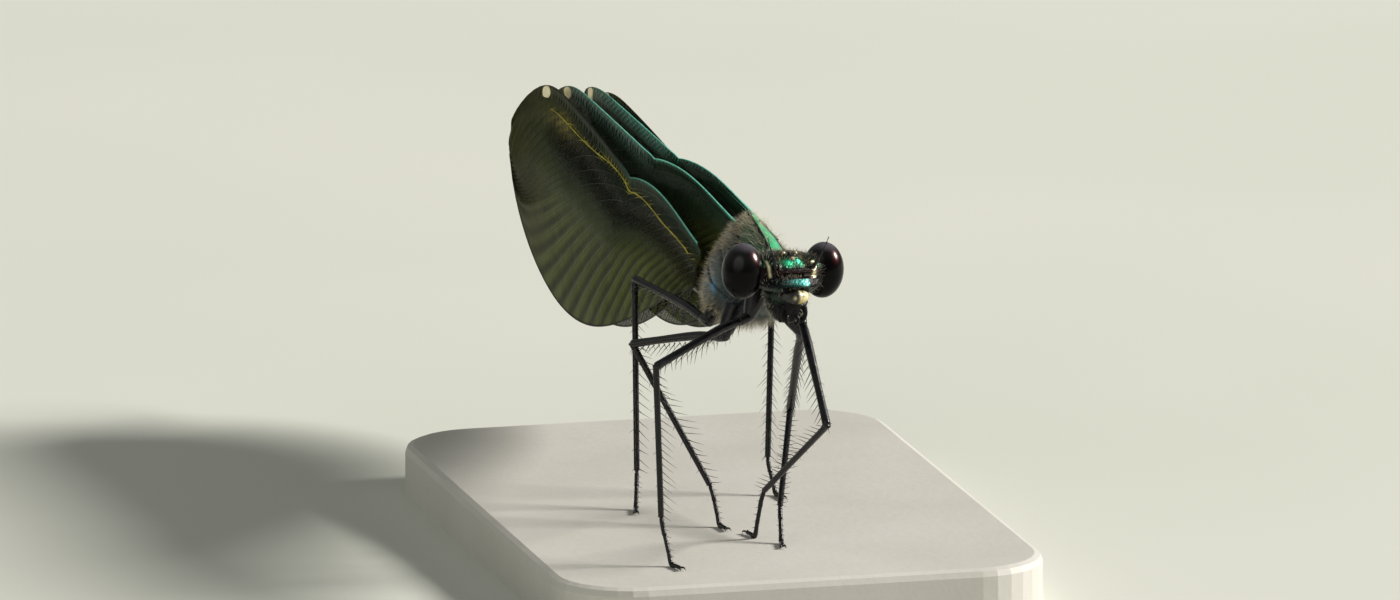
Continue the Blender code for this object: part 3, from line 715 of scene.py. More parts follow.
def trunk_relief(place):
    """Give the keel along the thorax's back, its seams, the collar's lobes and the wing rims."""
    x, y, z = place.T
    back = ramp(2.5, 2.9, y) * ramp(6.3, 5.9, y)
    reaches = (back, ramp(3.0, 3.4, y) * ramp(7.6, 7.0, y), ramp(3.6, 4.0, y) * ramp(8.2, 7.6, y))
    seams = sum(hump(above_seam(place, number), 0, 0.06) * reach for number, reach in enumerate(reaches))
    keel = hump(x, 0, 0.07) * back * ramp(-0.5, 0.2, z)
    crest = hump(y, 6.05, 0.13) * ramp(0.3, 0.7, z)
    sinus = hump(y, 6.45, 0.16) * ramp(0.2, 0.7, z)
    lobes = (hump(y, 1.55, 0.14) + hump(y, 2.05, 0.12)) * ramp(-0.9, -0.3, z)
    waist = hump(y, 1.80, 0.07) * ramp(-1.2, -0.4, z)
    return 0.09 * keel - 0.07 * seams + 0.10 * crest - 0.10 * sinus + 0.05 * lobes - 0.05 * waist


def trunk_tint(place):
    """Paint the trunk: mint-green back with a black keel, blue-grey sides, brown underside.

    The back's mint green is brightened as a painted highlight and dimmed on the right side as
    painted shade. The blue-grey of the sides is partly a painted sky sheen.
    """
    x, y, z = place.T
    wide = np.abs(x)
    # Mint green, brightest midway along the back: a painted highlight over the metallic green.
    green = blend("#2fc488", "#4ee9a6", hump(y, 4.2, 1.6))
    # Blue-grey sides: partly a painted sky sheen.
    side = lay_over("#2e4048", ("#25433f", hump(y, 4.0, 1.2) * 0.6),
                    ("#7d6f66", hump(y, 6.6, 0.9) * ramp(-0.9, 0.1, z) * 0.8))
    # The mint green is cut to an eighth on the right side: painted shade.
    mint_mask_with_painted_shade = ramp(1.12, 0.96, wide + 0.20 * (y - 3.0)) * np.where(x < 0, 0.12, 1.0)
    back = lay_over("#33443c", ("#4b463a", hump(y, 5.9, 0.8)), (green, mint_mask_with_painted_shade))
    seams = [("#0f1312", hump(above_seam(place, number), 0, 0.07) * ramp(2.6, 3.0, y) * 0.9)
             for number in range(len(SEAMS))]
    return lay_over(side, (back, ramp(-0.08, 0.02, above_seam(place, 0)) * ramp(6.5, 6.1, y)),
                    (green * 0.6, ramp(2.36, 2.28, y) * ramp(-0.5, -0.2, z) * 0.8),
                    ("#1c1c1a", ramp(-0.9, -1.5, z) * ramp(4.2, 3.4, y)),
                    ("#3c93cf", hump(y, 5.05, 0.26) * hump(z, -1.55, 0.30)),
                    ("#3b352b", ramp(-1.9, -2.7, z) * 0.9), *seams,
                    ("#15171c", hump(y, 5.05, 0.20) * hump(z, -2.22, 0.16)),
                    ("#0d0f0d", ramp(0.10, 0.05, wide) * ramp(-0.5, 0.1, z) * ramp(2.5, 2.7, y)),
                    ("#3a3430", ramp(6.5, 7.2, y) * ramp(-1.6, -0.6, z)))


def make_trunk(looks):
    """Make the skin of the neck, collar and thorax in one piece."""
    bm = bmesh.new()
    wrap(bm, 220, 200, trunk_skin)
    return finish_piece("trunk_skin", bm, BODY_FRAME, looks["green"], trunk_tint, trunk_relief,
                        ["prothorax", "synthorax"])


def abdomen_line(behind):
    """Give the middle line of the abdomen, this far behind the waist."""
    part = behind / SEGMENT_ENDS[-1]
    height = ABDOMEN_CURVE[0] + ABDOMEN_CURVE[1] * part + ABDOMEN_CURVE[2] * part * part
    return np.stack([0 * behind, ABDOMEN_START + behind, height], 1)


def abdomen_skin(along, around):
    """Give the shape of the abdomen's skin: ringed, pinched in each segment, flatter below."""
    behind = along * (SEGMENT_ENDS[-1] + ABDOMEN_IN_THORAX) - ABDOMEN_IN_THORAX
    number = np.clip(np.searchsorted(SEGMENT_ENDS, behind, side="right") - 1, 0, len(SEGMENTS) - 1)
    length, front, back = np.array(SEGMENTS)[number].T
    part = np.clip((behind - SEGMENT_ENDS[number]) / length, 0, 1)
    radius = (front + (back - front) * part) * (1 - 0.05 * np.sin(np.pi * part) ** 2)
    for end in SEGMENT_ENDS[1:-1]:
        radius = radius - 0.07 * hump(behind, end, 0.05) + 0.03 * hump(behind, end - 0.13, 0.09)
    angle = around * 2 * np.pi
    height = np.sin(angle)
    radius = radius * (1 - 0.05 * hump(height, -0.86, 0.07)) * end_rounding(along, 0.008)
    belly = np.where(height < 0, 0.93, 1.0)
    return abdomen_line(behind) + np.stack([np.cos(angle) * radius * 0.97, 0 * angle,
                                            height * radius * belly], 1)


def abdomen_tint(place):
    """Paint the abdomen: gold line on top, dark bronze sides, green waist, dark rings and belly.

    The gold line and a tan patch on top near the tip are painted highlights, and the sides are
    darker than the top as painted shade.
    """
    x, y, z = place.T
    behind = y - ABDOMEN_START
    above = z - abdomen_line(behind)[:, 2]
    up = above / np.maximum(np.hypot(x, above), 1e-6)
    rings = sum(hump(behind, end - 0.06, 0.14) for end in SEGMENT_ENDS[1:-1])
    # Darker sides and a lighter top are painted shade and light; the gold line along the top is a painted
    # highlight.
    return lay_over("#140d10", ("#241a18", ramp(-0.2, 0.6, up)), ("#f2ea58", ramp(0.86, 0.96, up)),
                    ("#2c7a50", ramp(2.2, 0.3, behind) * ramp(-0.2, 0.4, up)),
                    ("#141012", np.clip(rings, 0, 1) * 0.85),
                    # Tan patch on top near the tip: a painted highlight.
                    ("#b58a55", ramp(0.88, 0.97, up) * ramp(26.5, 27.5, behind) * 0.8),
                    ("#1a1413", ramp(-0.75, -0.95, up)))


def make_abdomen(looks):
    """Make the abdomen in one piece, with its two tail appendages and the egg-laying blades below."""
    bm = bmesh.new()
    wrap(bm, 420, 48, abdomen_skin)
    end = np.array((0.0, ABDOMEN_START + SEGMENT_ENDS[-1], -1.55))
    for side, _ in SIDES:
        for points, radii, rings, sides in (
                (((0.22, -0.5, 0.12), (0.30, 0.2, 0.12), (0.26, 0.80, 0.05)), (0.16, 0.15, 0.07), 20, 12),
                (((0.10, -3.4, -0.70), (0.12, -1.6, -0.86), (0.08, 0.05, -0.62)), (0.12, 0.20, 0.09), 30, 12),
                (((0.10, 0.0, -0.60), (0.13, 0.12, -0.50), (0.13, 0.3, -0.42)), (0.045, 0.04, 0.03), 10, 8)):
            add_limb(bm, end + np.array(points), radii, rings, sides, side)
    nodes = ["abdomen_" + str(number + 1) for number in range(len(SEGMENTS))]
    finish_piece("abdomen_skin", bm, BODY_FRAME, looks["green"], abdomen_tint, None, nodes)


def leg_points(name):
    """Give a leg's joints in millimetres, the foot brought down to touch the base."""
    root, hip, knee, ankle, sole, toe = (np.array(joint, float) for joint in LEGS[name])
    height = BASE_TOP + FOOT_HEIGHT
    return root, hip, knee, ankle, np.array((*sole, height)), np.array((*toe, height))


def leg_tint(place):
    """Paint a leg: black, a little uneven along its length."""
    x, y, _ = place.T
    return blend("#08080b", "#161418", 0.5 + 0.5 * np.sin(x * 9 + y * 7))


def make_leg(name, looks):
    """Make a leg: hip joint, ring joint, femur, tibia and a three-jointed foot."""
    root, hip, knee, ankle, sole, toe = leg_points(name)
    thigh, shin = unit(knee - hip), unit(ankle - knee)
    bow = np.array((0, 0, 0.12))
    middle = ankle + (sole - ankle) * 0.35
    later = ankle + (sole - ankle) * 0.75
    bm = bmesh.new()
    for points, radii, rings, sides, share in (
            ((root - (hip - root) * 0.3, (root + hip) / 2, hip + (hip - root) * 0.06),
             (0.50, 0.42, 0.24), 20, 18, 0.06),
            ((hip - thigh * 0.22, hip + thigh * 0.2, hip + thigh * 0.62), (0.22, 0.24, 0.19), 16, 16, 0.06),
            ((hip + thigh * 0.45, hip + (knee - hip) * 0.3 + bow, hip + (knee - hip) * 0.7 + bow * 0.6,
              knee + thigh * 0.08), (0.17, 0.20, 0.17, 0.19), 44, 16, 0.03),
            ((knee - shin * 0.10, knee + shin * 0.5, knee + (ankle - knee) * 0.6, ankle),
             (0.16, 0.145, 0.135, 0.13), 44, 14, 0.02),
            ((ankle - shin * 0.15, (ankle + middle) / 2, middle + (middle - ankle) * 0.06),
             (0.10, 0.10, 0.11), 12, 12, 0.12),
            ((middle - (middle - ankle) * 0.1, (middle + later) / 2, later + (later - middle) * 0.08),
             (0.09, 0.092, 0.10), 12, 12, 0.12),
            ((later - (later - middle) * 0.15, sole, (sole + toe) / 2, toe),
             (0.085, 0.11, 0.09, 0.085), 30, 12, 0.06)):
        add_limb(bm, points, radii, rings, sides, 1, share)
    finish_piece(name + "_leg_skin", bm, BODY_FRAME, looks["leg"], leg_tint, None,
                 [name + part for part in ("_coxa", "_femur", "_tibia", "_tarsus")])


def make_claws(looks):
    """Make the two hooked claws of each foot."""
    bm = bmesh.new()
    for name in LEGS:
        *_, sole, toe = leg_points(name)
        ahead = unit(toe - sole)
        aside = np.cross(ahead, (0, 0, 1))
        for side, _ in SIDES:
            add_limb(bm, (toe - ahead * 0.05, toe + ahead * 0.14 + aside * side * 0.09 + (0, 0, 0.03),
                          toe + ahead * 0.26 + aside * side * 0.13 - (0, 0, 0.07)),
                     (0.045, 0.038, 0.012), 10, 8)
    finish_piece("foot_claws", bm, BODY_FRAME, looks["leg"], "#1c1512")


def blade_edges(wing, span):
    """Give how far below the wing's straight front line its two edges lie, at parts of its length."""
    tip_drop = wing["tip_drop"]
    past_straight = np.clip((span - LEADING_STRAIGHT) / (1 - LEADING_STRAIGHT), 0, 1)
    leading = tip_drop * (1 - (1 - past_straight ** LEADING_ROUNDNESS) ** (1 / LEADING_ROUNDNESS))
    growth = np.sin(np.pi / 2 * (np.minimum(span, WIDEST_AT) / WIDEST_AT) ** ROOT_TAPER)
    before = wing["root_chord"] + (wing["chord"] - wing["root_chord"]) * growth
    past_widest = np.clip((span - WIDEST_AT) / (1 - WIDEST_AT), 0, 1)
    roundness = (1 - past_widest ** TRAILING_ROUNDNESS) ** (1 / TRAILING_ROUNDNESS)
    trailing = np.where(span < WIDEST_AT, before, tip_drop + (wing["chord"] - tip_drop) * roundness)
    inner = np.clip(span / NODUS, 0, 1)
    outer = np.clip((LEADING_STRAIGHT - span) / (LEADING_STRAIGHT - NODUS), 0, 1)
    leading = leading + wing["nodus_dip"] * np.where(span < NODUS, inner ** 3, outer ** 2)
    leading = leading - ARCH_BEFORE_NODUS * np.sin(np.pi * inner ** 1.3)
    return leading + 0.06 * hump(span, NODUS, 0.012), trailing


def wing_place(wing, side, span, chord_part):
    """Give places on a wing's middle sheet, pleated along its front edge as real wings are."""
    leading, trailing = blade_edges(wing, span)
    drop = leading + (trailing - leading) * chord_part
    out_at_tip, flare_at_tip, rise = wing["left" if side > 0 else "right"]
    spread = np.minimum(1.0, span / FLARE_SETTLES_AT)
    out = wing["out_at_root"] + (out_at_tip - wing["out_at_root"]) * spread
    flare = wing["flare_at_root"] + (flare_at_tip - wing["flare_at_root"]) * spread
    lean = flare * ramp(0.0, LEAN_SETTLES_AT, drop / wing["chord"])
    below = drop - leading
    pleat = 0.12 * np.cos(2 * np.pi * below / 1.1) * np.exp(-below / 1.3) * (1 - 0.6 * span)
    pleat = pleat + 0.045 * fold(span, chord_part) * ramp(0.15, 0.5, chord_part) * ramp(1.0, 0.85, chord_part)
    along = span * wing["length"]
    back = along * math.cos(rise) + drop * math.sin(rise)
    up = along * math.sin(rise) - drop * math.cos(rise)
    root_x, root_y, root_z = wing["root"]
    return np.stack([root_x + side * (out + lean + pleat), root_y + back, root_z + up], -1)


def down_vein(chord_part):
    """Give how far along a long vein is where it reaches this part of the chord."""
    return np.clip((chord_part - STEM) / (1 - STEM), 0, 1) ** VEIN_BEND


def vein_end(start):
    """Give where the long vein that starts here meets the hind margin, both as parts of the length."""
    reach = 0.46 + 0.16 * ramp(-0.4, 0.4, start) - 0.34 * np.maximum(0.0, start - 0.35) ** 0.9
    return np.minimum(start + reach, 0.985 + 0.012 * start)


def vein_start(span, chord_part):
    """Give the start of the long vein that passes through each place of the wing."""
    down = down_vein(chord_part)
    start = span - 0.5 * down
    for _ in range(8):
        start = span - (vein_end(start) - start) * down
    crowded = (span - 0.985 * down) / np.maximum(1 - 0.988 * down, 0.02)
    return np.clip(np.where(vein_end(start) > 0.984 + 0.012 * start, crowded, start), -1, 1)


def fold(span, chord_part):
    """Give the blade's fanned folds: 1 on each ridge, -1 in each valley."""
    return np.cos(2 * np.pi * vein_start(span, chord_part) / FOLD)


def membrane_tint(wing, span, chord_part):
    """Paint the membrane and give its opacity as a fourth value.

    It is smoky olive brown, deep green along the front and at the root, and banded along its folds:
    lighter on the ridges and darker in the valleys, as painted light and shade. A clearer band
    runs along it, painted dark brown as the shade of the body behind the wing, with painted gold
    glints beside it on the hindwings. The forewings' front strip has bright cells, painted glints.
    """
    leading, trailing = blade_edges(wing, span)
    below = (trailing - leading) * chord_part
    colour = lay_over("#484f20", ("#2e2815", ramp(0.70, 0.98, span) * 0.7),
                      ("#182c20", ramp(0.60, 0.15, chord_part) * ramp(0.98, 0.7, span) * 0.9))
    # Fold ridges are painted lighter and valleys darker: painted light and shade.
    band = fold(span, chord_part) * ramp(0.30, 0.65, chord_part) * ramp(0.92, 0.75, span)
    edge = ramp(0.985, 1.0, chord_part) + ramp(0.99, 1.0, span)
    # The clearer band is also painted dark brown as the shade of the body behind the wing.
    clear = hump(below, wing["clear_at"], 0.80) * ramp(0.88, 0.76, span)
    # Gold speckles on the hindwings: painted glints.
    glints = hump(span, 0.78, 0.07) * hump(below, 1.15, 0.42) * speckle(span * 240, below * 14 + span * 60)
    # Bright speckled cells on the forewings' front strip: painted glints.
    cells = ramp(1.0, 0.2, below) * ramp(0.40, 0.52, span) * ramp(0.95, 0.85, span)
    cells = cells * speckle(span * 330, below * 17)
    colour = lay_over(colour * (1 + 0.62 * band)[:, None], ("#17110b", edge * 0.8), ("#1a0f0f", clear * 0.75),
                      ("#958b46", glints * (wing is HINDWING)), ("#93b6ac", cells * 0.9 * (wing is FOREWING)))
    opacity = wing["opacity"] * (1 - 0.45 * clear) - wing["clear_margin"] * ramp(0.55, 1.0, chord_part)
    return np.column_stack([colour, np.clip(opacity + 0.1 * edge, 0, 0.99)])


def make_membrane(name, wing, side, look):
    """Make one wing's membrane, with rows that crowd together towards the tip."""
    bm = bmesh.new()
    tints = []

    def shape(along, around):
        span = MEMBRANE_END * np.sin(np.pi / 2 * along)
        tints.append(membrane_tint(wing, span, around))
        return wing_place(wing, side, span, around)
    wrap(bm, 180, 64, shape, False)
    blade = finish_piece(name + "_membrane", bm, BODY_FRAME, look, lambda place: tints[0], None, [name])
    # A real membrane is a few thousandths of a millimetre thick. This one is as thin as it can show.
    thicken(blade, "two_plies", 0.02)


def thicken(piece, name, thickness_mm):
    """Give a sheet its thickness, half on each side."""
    plies = piece.modifiers.new(name, "SOLIDIFY")
    plies.thickness = thickness_mm * MM
    plies.offset = 0.0


def strands(paths, radii, sides):
    """Make thin closed strands along paths, all with the same number of points, as one array mesh."""
    count, points = paths.shape[:2]
    first, second = across_path(paths)
    angles = (np.arange(sides) * 2 * np.pi / sides)[:, None]
    ring = first[:, :, None] * np.cos(angles) + second[:, :, None] * np.sin(angles)
    places = paths[:, :, None] + ring * radii[:, :, None, None]
    index = np.arange(count * points * sides).reshape(count, points, sides)
    turned = np.roll(index, -1, axis=2)
    walls = np.stack([index[:, :-1], turned[:, :-1], turned[:, 1:], index[:, 1:]], -1).reshape(-1, 4)
    return places.reshape(-1, 3), walls, index[:, 0, ::-1], index[:, -1]


def add_strands(name, bundles, colours, look, roots=None):
    """Make bundles of strands in millimetres one piece, with its OFBake map where roots are given."""
    faces = []
    offset = 0
    for places, *groups in bundles:
        for group in groups:
            faces.extend((group + offset).tolist())
        offset += len(places)
    mesh = bpy.data.meshes.new(name)
    mesh.from_pydata(np.concatenate([bundle[0] for bundle in bundles]).tolist(), [], faces)
    paint(mesh, colours)
    if roots is not None:
        corners = read(mesh.loops, "vertex_index", 1, np.int32)[:, 0]
        unwrap = mesh.uv_layers.new(name="OFBake")
        unwrap.data.foreach_set("uv", roots[corners].astype(np.float32).ravel())
    mesh.transform(BODY_FRAME @ Matrix.Scale(MM, 4))
    add_piece(name, mesh, look)


def strand_roots(spots, points, sides):
    """Lay each strand's corners out as a small patch at its root's place on the skin's unwrap."""
    along = np.linspace(-PATCH / 2, PATCH / 2, points)[:, None]
    around = np.linspace(-PATCH / 2, PATCH / 2, sides)
    patch = np.stack([along + 0 * around, 0 * along + around], -1)
    return (spots[:, None, None] + patch).reshape(-1, 2)


def branching_veins():
    """Lay out the long veins below the wing's front edge.

    Each leaves the stem behind the radius and bends down to the hind margin. Every second, fourth
    and eighth one starts nearer the stem than the rest, so that the cells keep an even size.
    """
    veins = []
    for number in range(-62, 80):
        level = next(rank for rank in (3, 2, 1, 0) if number % 2 ** rank == 0)
        start = number * VEIN_STEP
        veins.append({"start": start, "end": float(vein_end(np.array(start))), "level": level,
                      "from": (0.66, 0.42, 0.26, 0.10)[level]})
    return veins


def vein_span(vein, chord_part):
    """Give where a long vein crosses each part of the chord, as a part of the wing's length."""
    return vein["start"] + (vein["end"] - vein["start"]) * down_vein(chord_part)


def gold_highlight_line(span):
    """Give how far below the hindwing's front edge its painted-highlight gold vein runs, in millimetres."""
    return 0.95 - 0.42 * hump(span, 0.46, 0.13) + 0.20 * hump(span, 0.20, 0.08)


def long_veins(wing, side, veins):
    """Give the paths and radii of the veins that run along a wing: straight, gold and branching.

    The gold vein on the hindwings carries a painted highlight.
    """
    line = np.linspace(0, 1, 48)
    paths, radii = [], []
    for chord_part, reach, size, fade in FRONT_VEINS:
        spans = 0.004 + 0.988 * reach * line
        to_edge = 1 - ramp(reach - 0.05, reach, spans) if reach < 0.5 else 1 - 0.4 * ramp(0.8, 1, line)
        paths.append(wing_place(wing, side, spans, chord_part * to_edge))
        radii.append(size * (1 - fade * line))
    paths.append(wing_place(wing, side, 0.004 + 0.992 * line, np.ones_like(line)))
    radii.append(np.full_like(line, 0.030))
    # The hindwings' gold vein, which carries a painted highlight.
    if wing is HINDWING:
        spans = 0.05 + 0.80 * line
        leading, trailing = blade_edges(wing, spans)
        path = wing_place(wing, side, spans, gold_highlight_line(spans) / (trailing - leading))
        paths.append(path + (side * 0.05, 0, 0))
        radii.append(0.042 * (1 - 0.4 * line) * (0.75 + 0.25 * np.sin(line * 70)))
    for vein in veins:
        down = vein["from"] + (1 - vein["from"]) * line ** 1.3
        inside = vein_span(vein, down) > 0.012
        if inside.sum() < 8:
            continue
        down = np.interp(line, np.linspace(0, 1, inside.sum()), down[inside])
        spans = vein_span(vein, down)
        paths.append(wing_place(wing, side, spans, down))
        size = (0.012, 0.016, 0.026, 0.028)[vein["level"]]
        radii.append(size * (1 - 0.45 * line) * (0.55 + 0.45 * ramp(0.05, 0.4, spans)))
    return np.array(paths), np.array(radii)


def cross_veins(wing, side, veins):
    """Give the paths and radii of the short veins that join the long ones into cells."""
    paths, radii = [], []
    length = wing["length"]

    def cross(first_span, first_part, second_span, second_part, size):
        ends = np.array((0.0, 0.5, 1.0))
        spans = first_span + (second_span - first_span) * ends
        parts = first_part + (second_part - first_part) * ends
        if spans.min() > 0.01 and spans.max() < 0.99 and 0 <= parts.min() and parts.max() <= 1:
            paths.append(wing_place(wing, side, spans, parts))
            radii.append(size * (0.55 + 0.45 * ramp(0.05, 0.4, spans)))

    for low, high, start, end, gap in FRONT_ROWS:
        for spot in np.arange(start, end, gap / length):
            spot = spot + CHANCE.normal(0, 0.002)
            cross(spot, low, spot + 0.002, high, 0.022)
    for number, vein in enumerate(veins):
        part = vein["from"] + CHANCE.uniform(0, 0.02)
        while part < 0.985:
            spot = float(vein_span(vein, part))
            if not 0.015 < spot < 0.985:
                part += 0.02
                continue
            leading, trailing = blade_edges(wing, np.array(spot))
            ahead = float(vein_span(vein, part + 0.01)) - spot
            slope = np.array((ahead * length, 0.01 * float(trailing - leading)))
            other = next((veins[number + away] for away in (1, 2, 4, 8)
                          if number + away < len(veins) and veins[number + away]["from"] <= part), None)
            if other is not None:
                away = float(vein_span(other, part)) - spot
                shift = -away * length * slope[0] / (slope @ slope) * 0.01
                reached = np.clip(part + shift, other["from"], 1.0)
                cross(spot, part, float(vein_span(other, reached)), reached, 0.010)
            part += float(0.40 * CHANCE.uniform(0.8, 1.25) / np.linalg.norm(slope) * 0.01)
    return np.array(paths), np.array(radii)


def vein_tint(places, wing):
    """Paint veins: green-blue front edge, gold line on the hindwings, dark green and brown behind.

    The front edge's pale green-blue, as far as lit_to, and the gold line are painted highlights.
    """
    _, root_y, root_z = wing["root"]
    span = (places[:, 1] - root_y) / wing["length"]
    leading, _ = blade_edges(wing, np.clip(span, 0, 1))
    rise = wing["left" if places[:, 0].mean() > 0 else "right"][2]
    drop = root_z - places[:, 2] + (places[:, 1] - root_y) * math.tan(rise) - leading
    # Front veins brightened to pale green-blue as far as lit_to: painted highlight over their metallic
    # colour.
    front = ramp(0.17, 0.08, drop) * ramp(wing["lit_to"], wing["lit_to"] - 0.25, span)
    # Gold line on the hindwings: painted highlight.
    golden = hump(drop, gold_highlight_line(span), 0.10) * ramp(0.90, 0.80, span) * (wing is HINDWING)
    return lay_over("#1b1a0c", ("#15382a", ramp(0.70, 0.1, span) * ramp(5.5, 1.0, drop) * 0.8),
                    ("#d6c955", golden), ("#79d6c0", front))


def make_wings(looks):
    """Make the four wings: membrane, veins, and the cream spot that crosses cells near the tip."""
    veins = branching_veins()
    for pair, wing in (("forewing", FOREWING), ("hindwing", HINDWING)):
        for side, word in SIDES:
            name = pair + "_" + word
            make_membrane(name, wing, side, looks["membrane"])
            bundles = [strands(*group(wing, side, veins), 4) for group in (long_veins, cross_veins)]
            tints = np.concatenate([vein_tint(bundle[0], wing) for bundle in bundles])
            add_strands(name + "_veins", bundles, tints, looks["vein"])
            make_wing_spot(name, wing, side, looks["wing_spot"])


def make_wing_spot(name, wing, side, look):
    """Make the wing's cream spot: a thickened, opaque patch of cells behind the front edge."""
    def shape(along, around):
        start, end = SPOT_SPAN
        rounding = np.sqrt(np.clip(1 - np.abs(2 * along - 1) ** 3, 0, 1))
        part = SPOT_MIDDLE + (around - 0.5) * SPOT_WIDTH * rounding
        return wing_place(wing, side, start + (end - start) * along, part)
    bm = bmesh.new()
    wrap(bm, 24, 8, shape, False)
    thicken(finish_piece(name + "_spot", bm, BODY_FRAME, look, "#fff2c4"), "thickened_cells", 0.07)


def skin_triangles(piece):
    """Give a piece's triangles in millimetres: corners, flat normals, areas and unwrap places."""
    mesh = piece.data
    mesh.calc_loop_triangles()
    places = (read(mesh.vertices, "co", 3).astype(float) - np.array(HEAD_MIDDLE)) / MM
    triangles = places[read(mesh.loop_triangles, "vertices", 3, np.int32)]
    cross = np.cross(triangles[:, 1] - triangles[:, 0], triangles[:, 2] - triangles[:, 0])
    unwrap = read(mesh.uv_layers["skin"].data, "uv", 2)[read(mesh.loop_triangles, "loops", 3, np.int32)]
    return triangles, unit(cross), np.linalg.norm(cross, axis=1) / 2, unwrap


def make_coat(name, skin, count, where, lie, length, radius, tint, look):
    """Grow hairs all over a skin where it has them, lying as lie says, as one mesh of closed strands."""
    triangles, normals, area, unwrap = skin_triangles(skin)
    chance = area * where(triangles.mean(1), normals)
    pick = CHANCE.choice(len(area), count, p=chance / chance.sum())
    share = np.sort(CHANCE.uniform(size=(count, 2)), axis=1)
    weights = np.stack([share[:, 0], share[:, 1] - share[:, 0], 1 - share[:, 1]], 1)[:, :, None]
    roots = (triangles[pick] * weights).sum(1)
    out = normals[pick]
    way = unit(lie(out) + CHANCE.normal(0, 0.22, (count, 3)))
    sizes = (length(roots) * CHANCE.uniform(0.6, 1.15, count))[:, None, None]
    bend = CHANCE.normal(0, 0.10, (count, 3)) - out * 0.12
    thinning = np.array((1.0, 0.85, 0.55, 0.12))
    steps = np.linspace(0, 1, len(thinning))[None, :, None]
    paths = (roots - out * 0.03)[:, None] + (way[:, None] * steps + bend[:, None] * steps ** 2) * sizes
    radii = radius * thinning * CHANCE.uniform(0.8, 1.2, (count, 1))
    shades = np.repeat(tint(roots) * CHANCE.uniform(0.75, 1.2, (count, 1)), 3 * len(thinning), axis=0)
    spots = strand_roots((unwrap[pick] * weights).sum(1), len(thinning), 3)
    add_strands(name, [strands(paths, radii, 3)], shades, look, spots)


def make_body_hair(looks, trunk, head, jaws):
    """Grow the pale hair: long on the back and under the thorax, short on the face and the jaws."""
    def on_trunk(place, out):
        x, y, z = place.T
        bare = np.where(x > 0, 0.96, 0.3) * ramp(0.1, 0.25, np.abs(x)) * ramp(1.25, 1.05, np.abs(x))
        bare = bare * ramp(-0.5, 0.1, z) * ramp(6.0, 5.5, y)
        return (0.5 + ramp(-2.4, -3.2, z) + 0.8 * hump(y, 5.6, 0.9) * ramp(-0.6, 0.4, z)) * (1 - bare)

    def trunk_length(place):
        _, y, z = place.T
        return 0.34 + 0.48 * ramp(-0.2, 0.6, z) * ramp(6.0, 5.0, y) + 0.40 * ramp(-2.6, -3.3, z)

    def trunk_hair_tint(place):
        x, y, z = place.T
        return lay_over("#e2dcc4", ("#a39274", speckle(y * 5.1, z * 6.3 + x * 4.0)),
                        ("#a3977c", ramp(0.2, 0.9, x)), ("#5c6e77", ramp(5.8, 4.2, y) * ramp(0.3, -0.6, z)))

    make_coat("thorax_hair", trunk, 7500, on_trunk, lambda out: out * 0.75 + (0.0, 0.45, -0.25),
              trunk_length, 0.0055, trunk_hair_tint, looks["hair"])
    make_coat("face_hair", head, 900,
              lambda place, out: 0.3 + ramp(0.2, 0.6, out[:, 2]) + 0.6 * ramp(-0.2, -0.7, out[:, 1]),
              lambda out: out * 0.9 + (0, -0.1, 0.25), lambda place: 0.24, 0.007,
              lambda place: to_linear("#a89f8c"), looks["hair"])
    make_coat("jaw_hair", jaws, 150, lambda place, out: ramp(0.5, 0.9, np.abs(out[:, 0])),
              lambda out: out * 0.8 + (0, -0.2, -0.5), lambda place: 0.26, 0.007,
              lambda place: to_linear("#c9c0ac"), looks["hair"])


def make_bristles(looks):
    """Set two rows of long and two of short bristles along each femur, tibia and foot."""
    roots, tips, sizes, spots = [], [], [], []
    for order, name in enumerate(LEGS):
        _, hip, knee, ankle, sole, toe = leg_points(name)
        # Each joint's start, end and inner side, then its radius and its bristles' number, length, start
        limbs = ((hip, knee, ankle - knee, 0.17, 16, 0.62, 0.10),
                 (knee, ankle, hip - knee, 0.13, 20, 0.74, 0.04),
                 (ankle, sole, hip - knee, 0.10, 7, 0.20, 0.05),
                 (sole, toe, np.array((0, 0, -1.0)), 0.08, 5, 0.10, 0.05))
        for limb, (start, end, inward, radius, count, length, begin) in enumerate(limbs):
            along = unit(end - start)
            inner = unit(inward - along * (inward @ along))
            aside = np.cross(along, inner)
            for row, angle in enumerate((-38, 38, -100, 100)):
                turned = inner * math.cos(math.radians(angle)) + aside * math.sin(math.radians(angle))
                number, short, thin = (count, 1.0, 1.0) if row < 2 else (count // 2, 0.38, 0.7)
                for spot in np.linspace(begin + 0.02 * (row % 2), 0.97, number):
                    lean = unit(along * CHANCE.normal(0.95, 0.12) + turned * CHANCE.normal(1.0, 0.1)
                                + aside * CHANCE.normal(0, 0.12))
                    size = length * short * CHANCE.uniform(0.75, 1.1)
                    size = size * (0.75 + 0.5 * math.sin(math.pi * spot))
                    roots.append(start + (end - start) * spot + turned * radius * 0.85)
                    tips.append(lean * size)
                    sizes.append((radius * 0.08 + 0.006) * thin)
                    spots.append(((order + 0.15 + 0.7 * row / 4) / 6, (limb + 0.1 + 0.8 * spot) / 4))
    roots, tips, sizes, spots = (np.array(group) for group in (roots, tips, sizes, spots))
    thinning = np.array((1.0, 0.9, 0.7, 0.45, 0.12))
    steps = np.linspace(0, 1, len(thinning))[None, :, None]
    down = unit(np.cross(np.cross(tips, roots - roots.mean(0)), tips))
    paths = roots[:, None] + tips[:, None] * steps - down[:, None] * 0.05 * steps ** 2
    add_strands("leg_bristles", [strands(paths, sizes[:, None] * thinning, 4)], to_linear("#1b1516"),
                looks["bristle"], strand_roots(spots, len(thinning), 4))


def make_floor():
    """Lay the plain pale floor under the model."""
    bm = bmesh.new()
    bmesh.ops.create_grid(bm, x_segments=1, y_segments=1, size=20.0)
    mesh = make_mesh("floor", bm)
    mesh.materials.append(make_floor_finish())
    floor = add_object("floor", mesh)


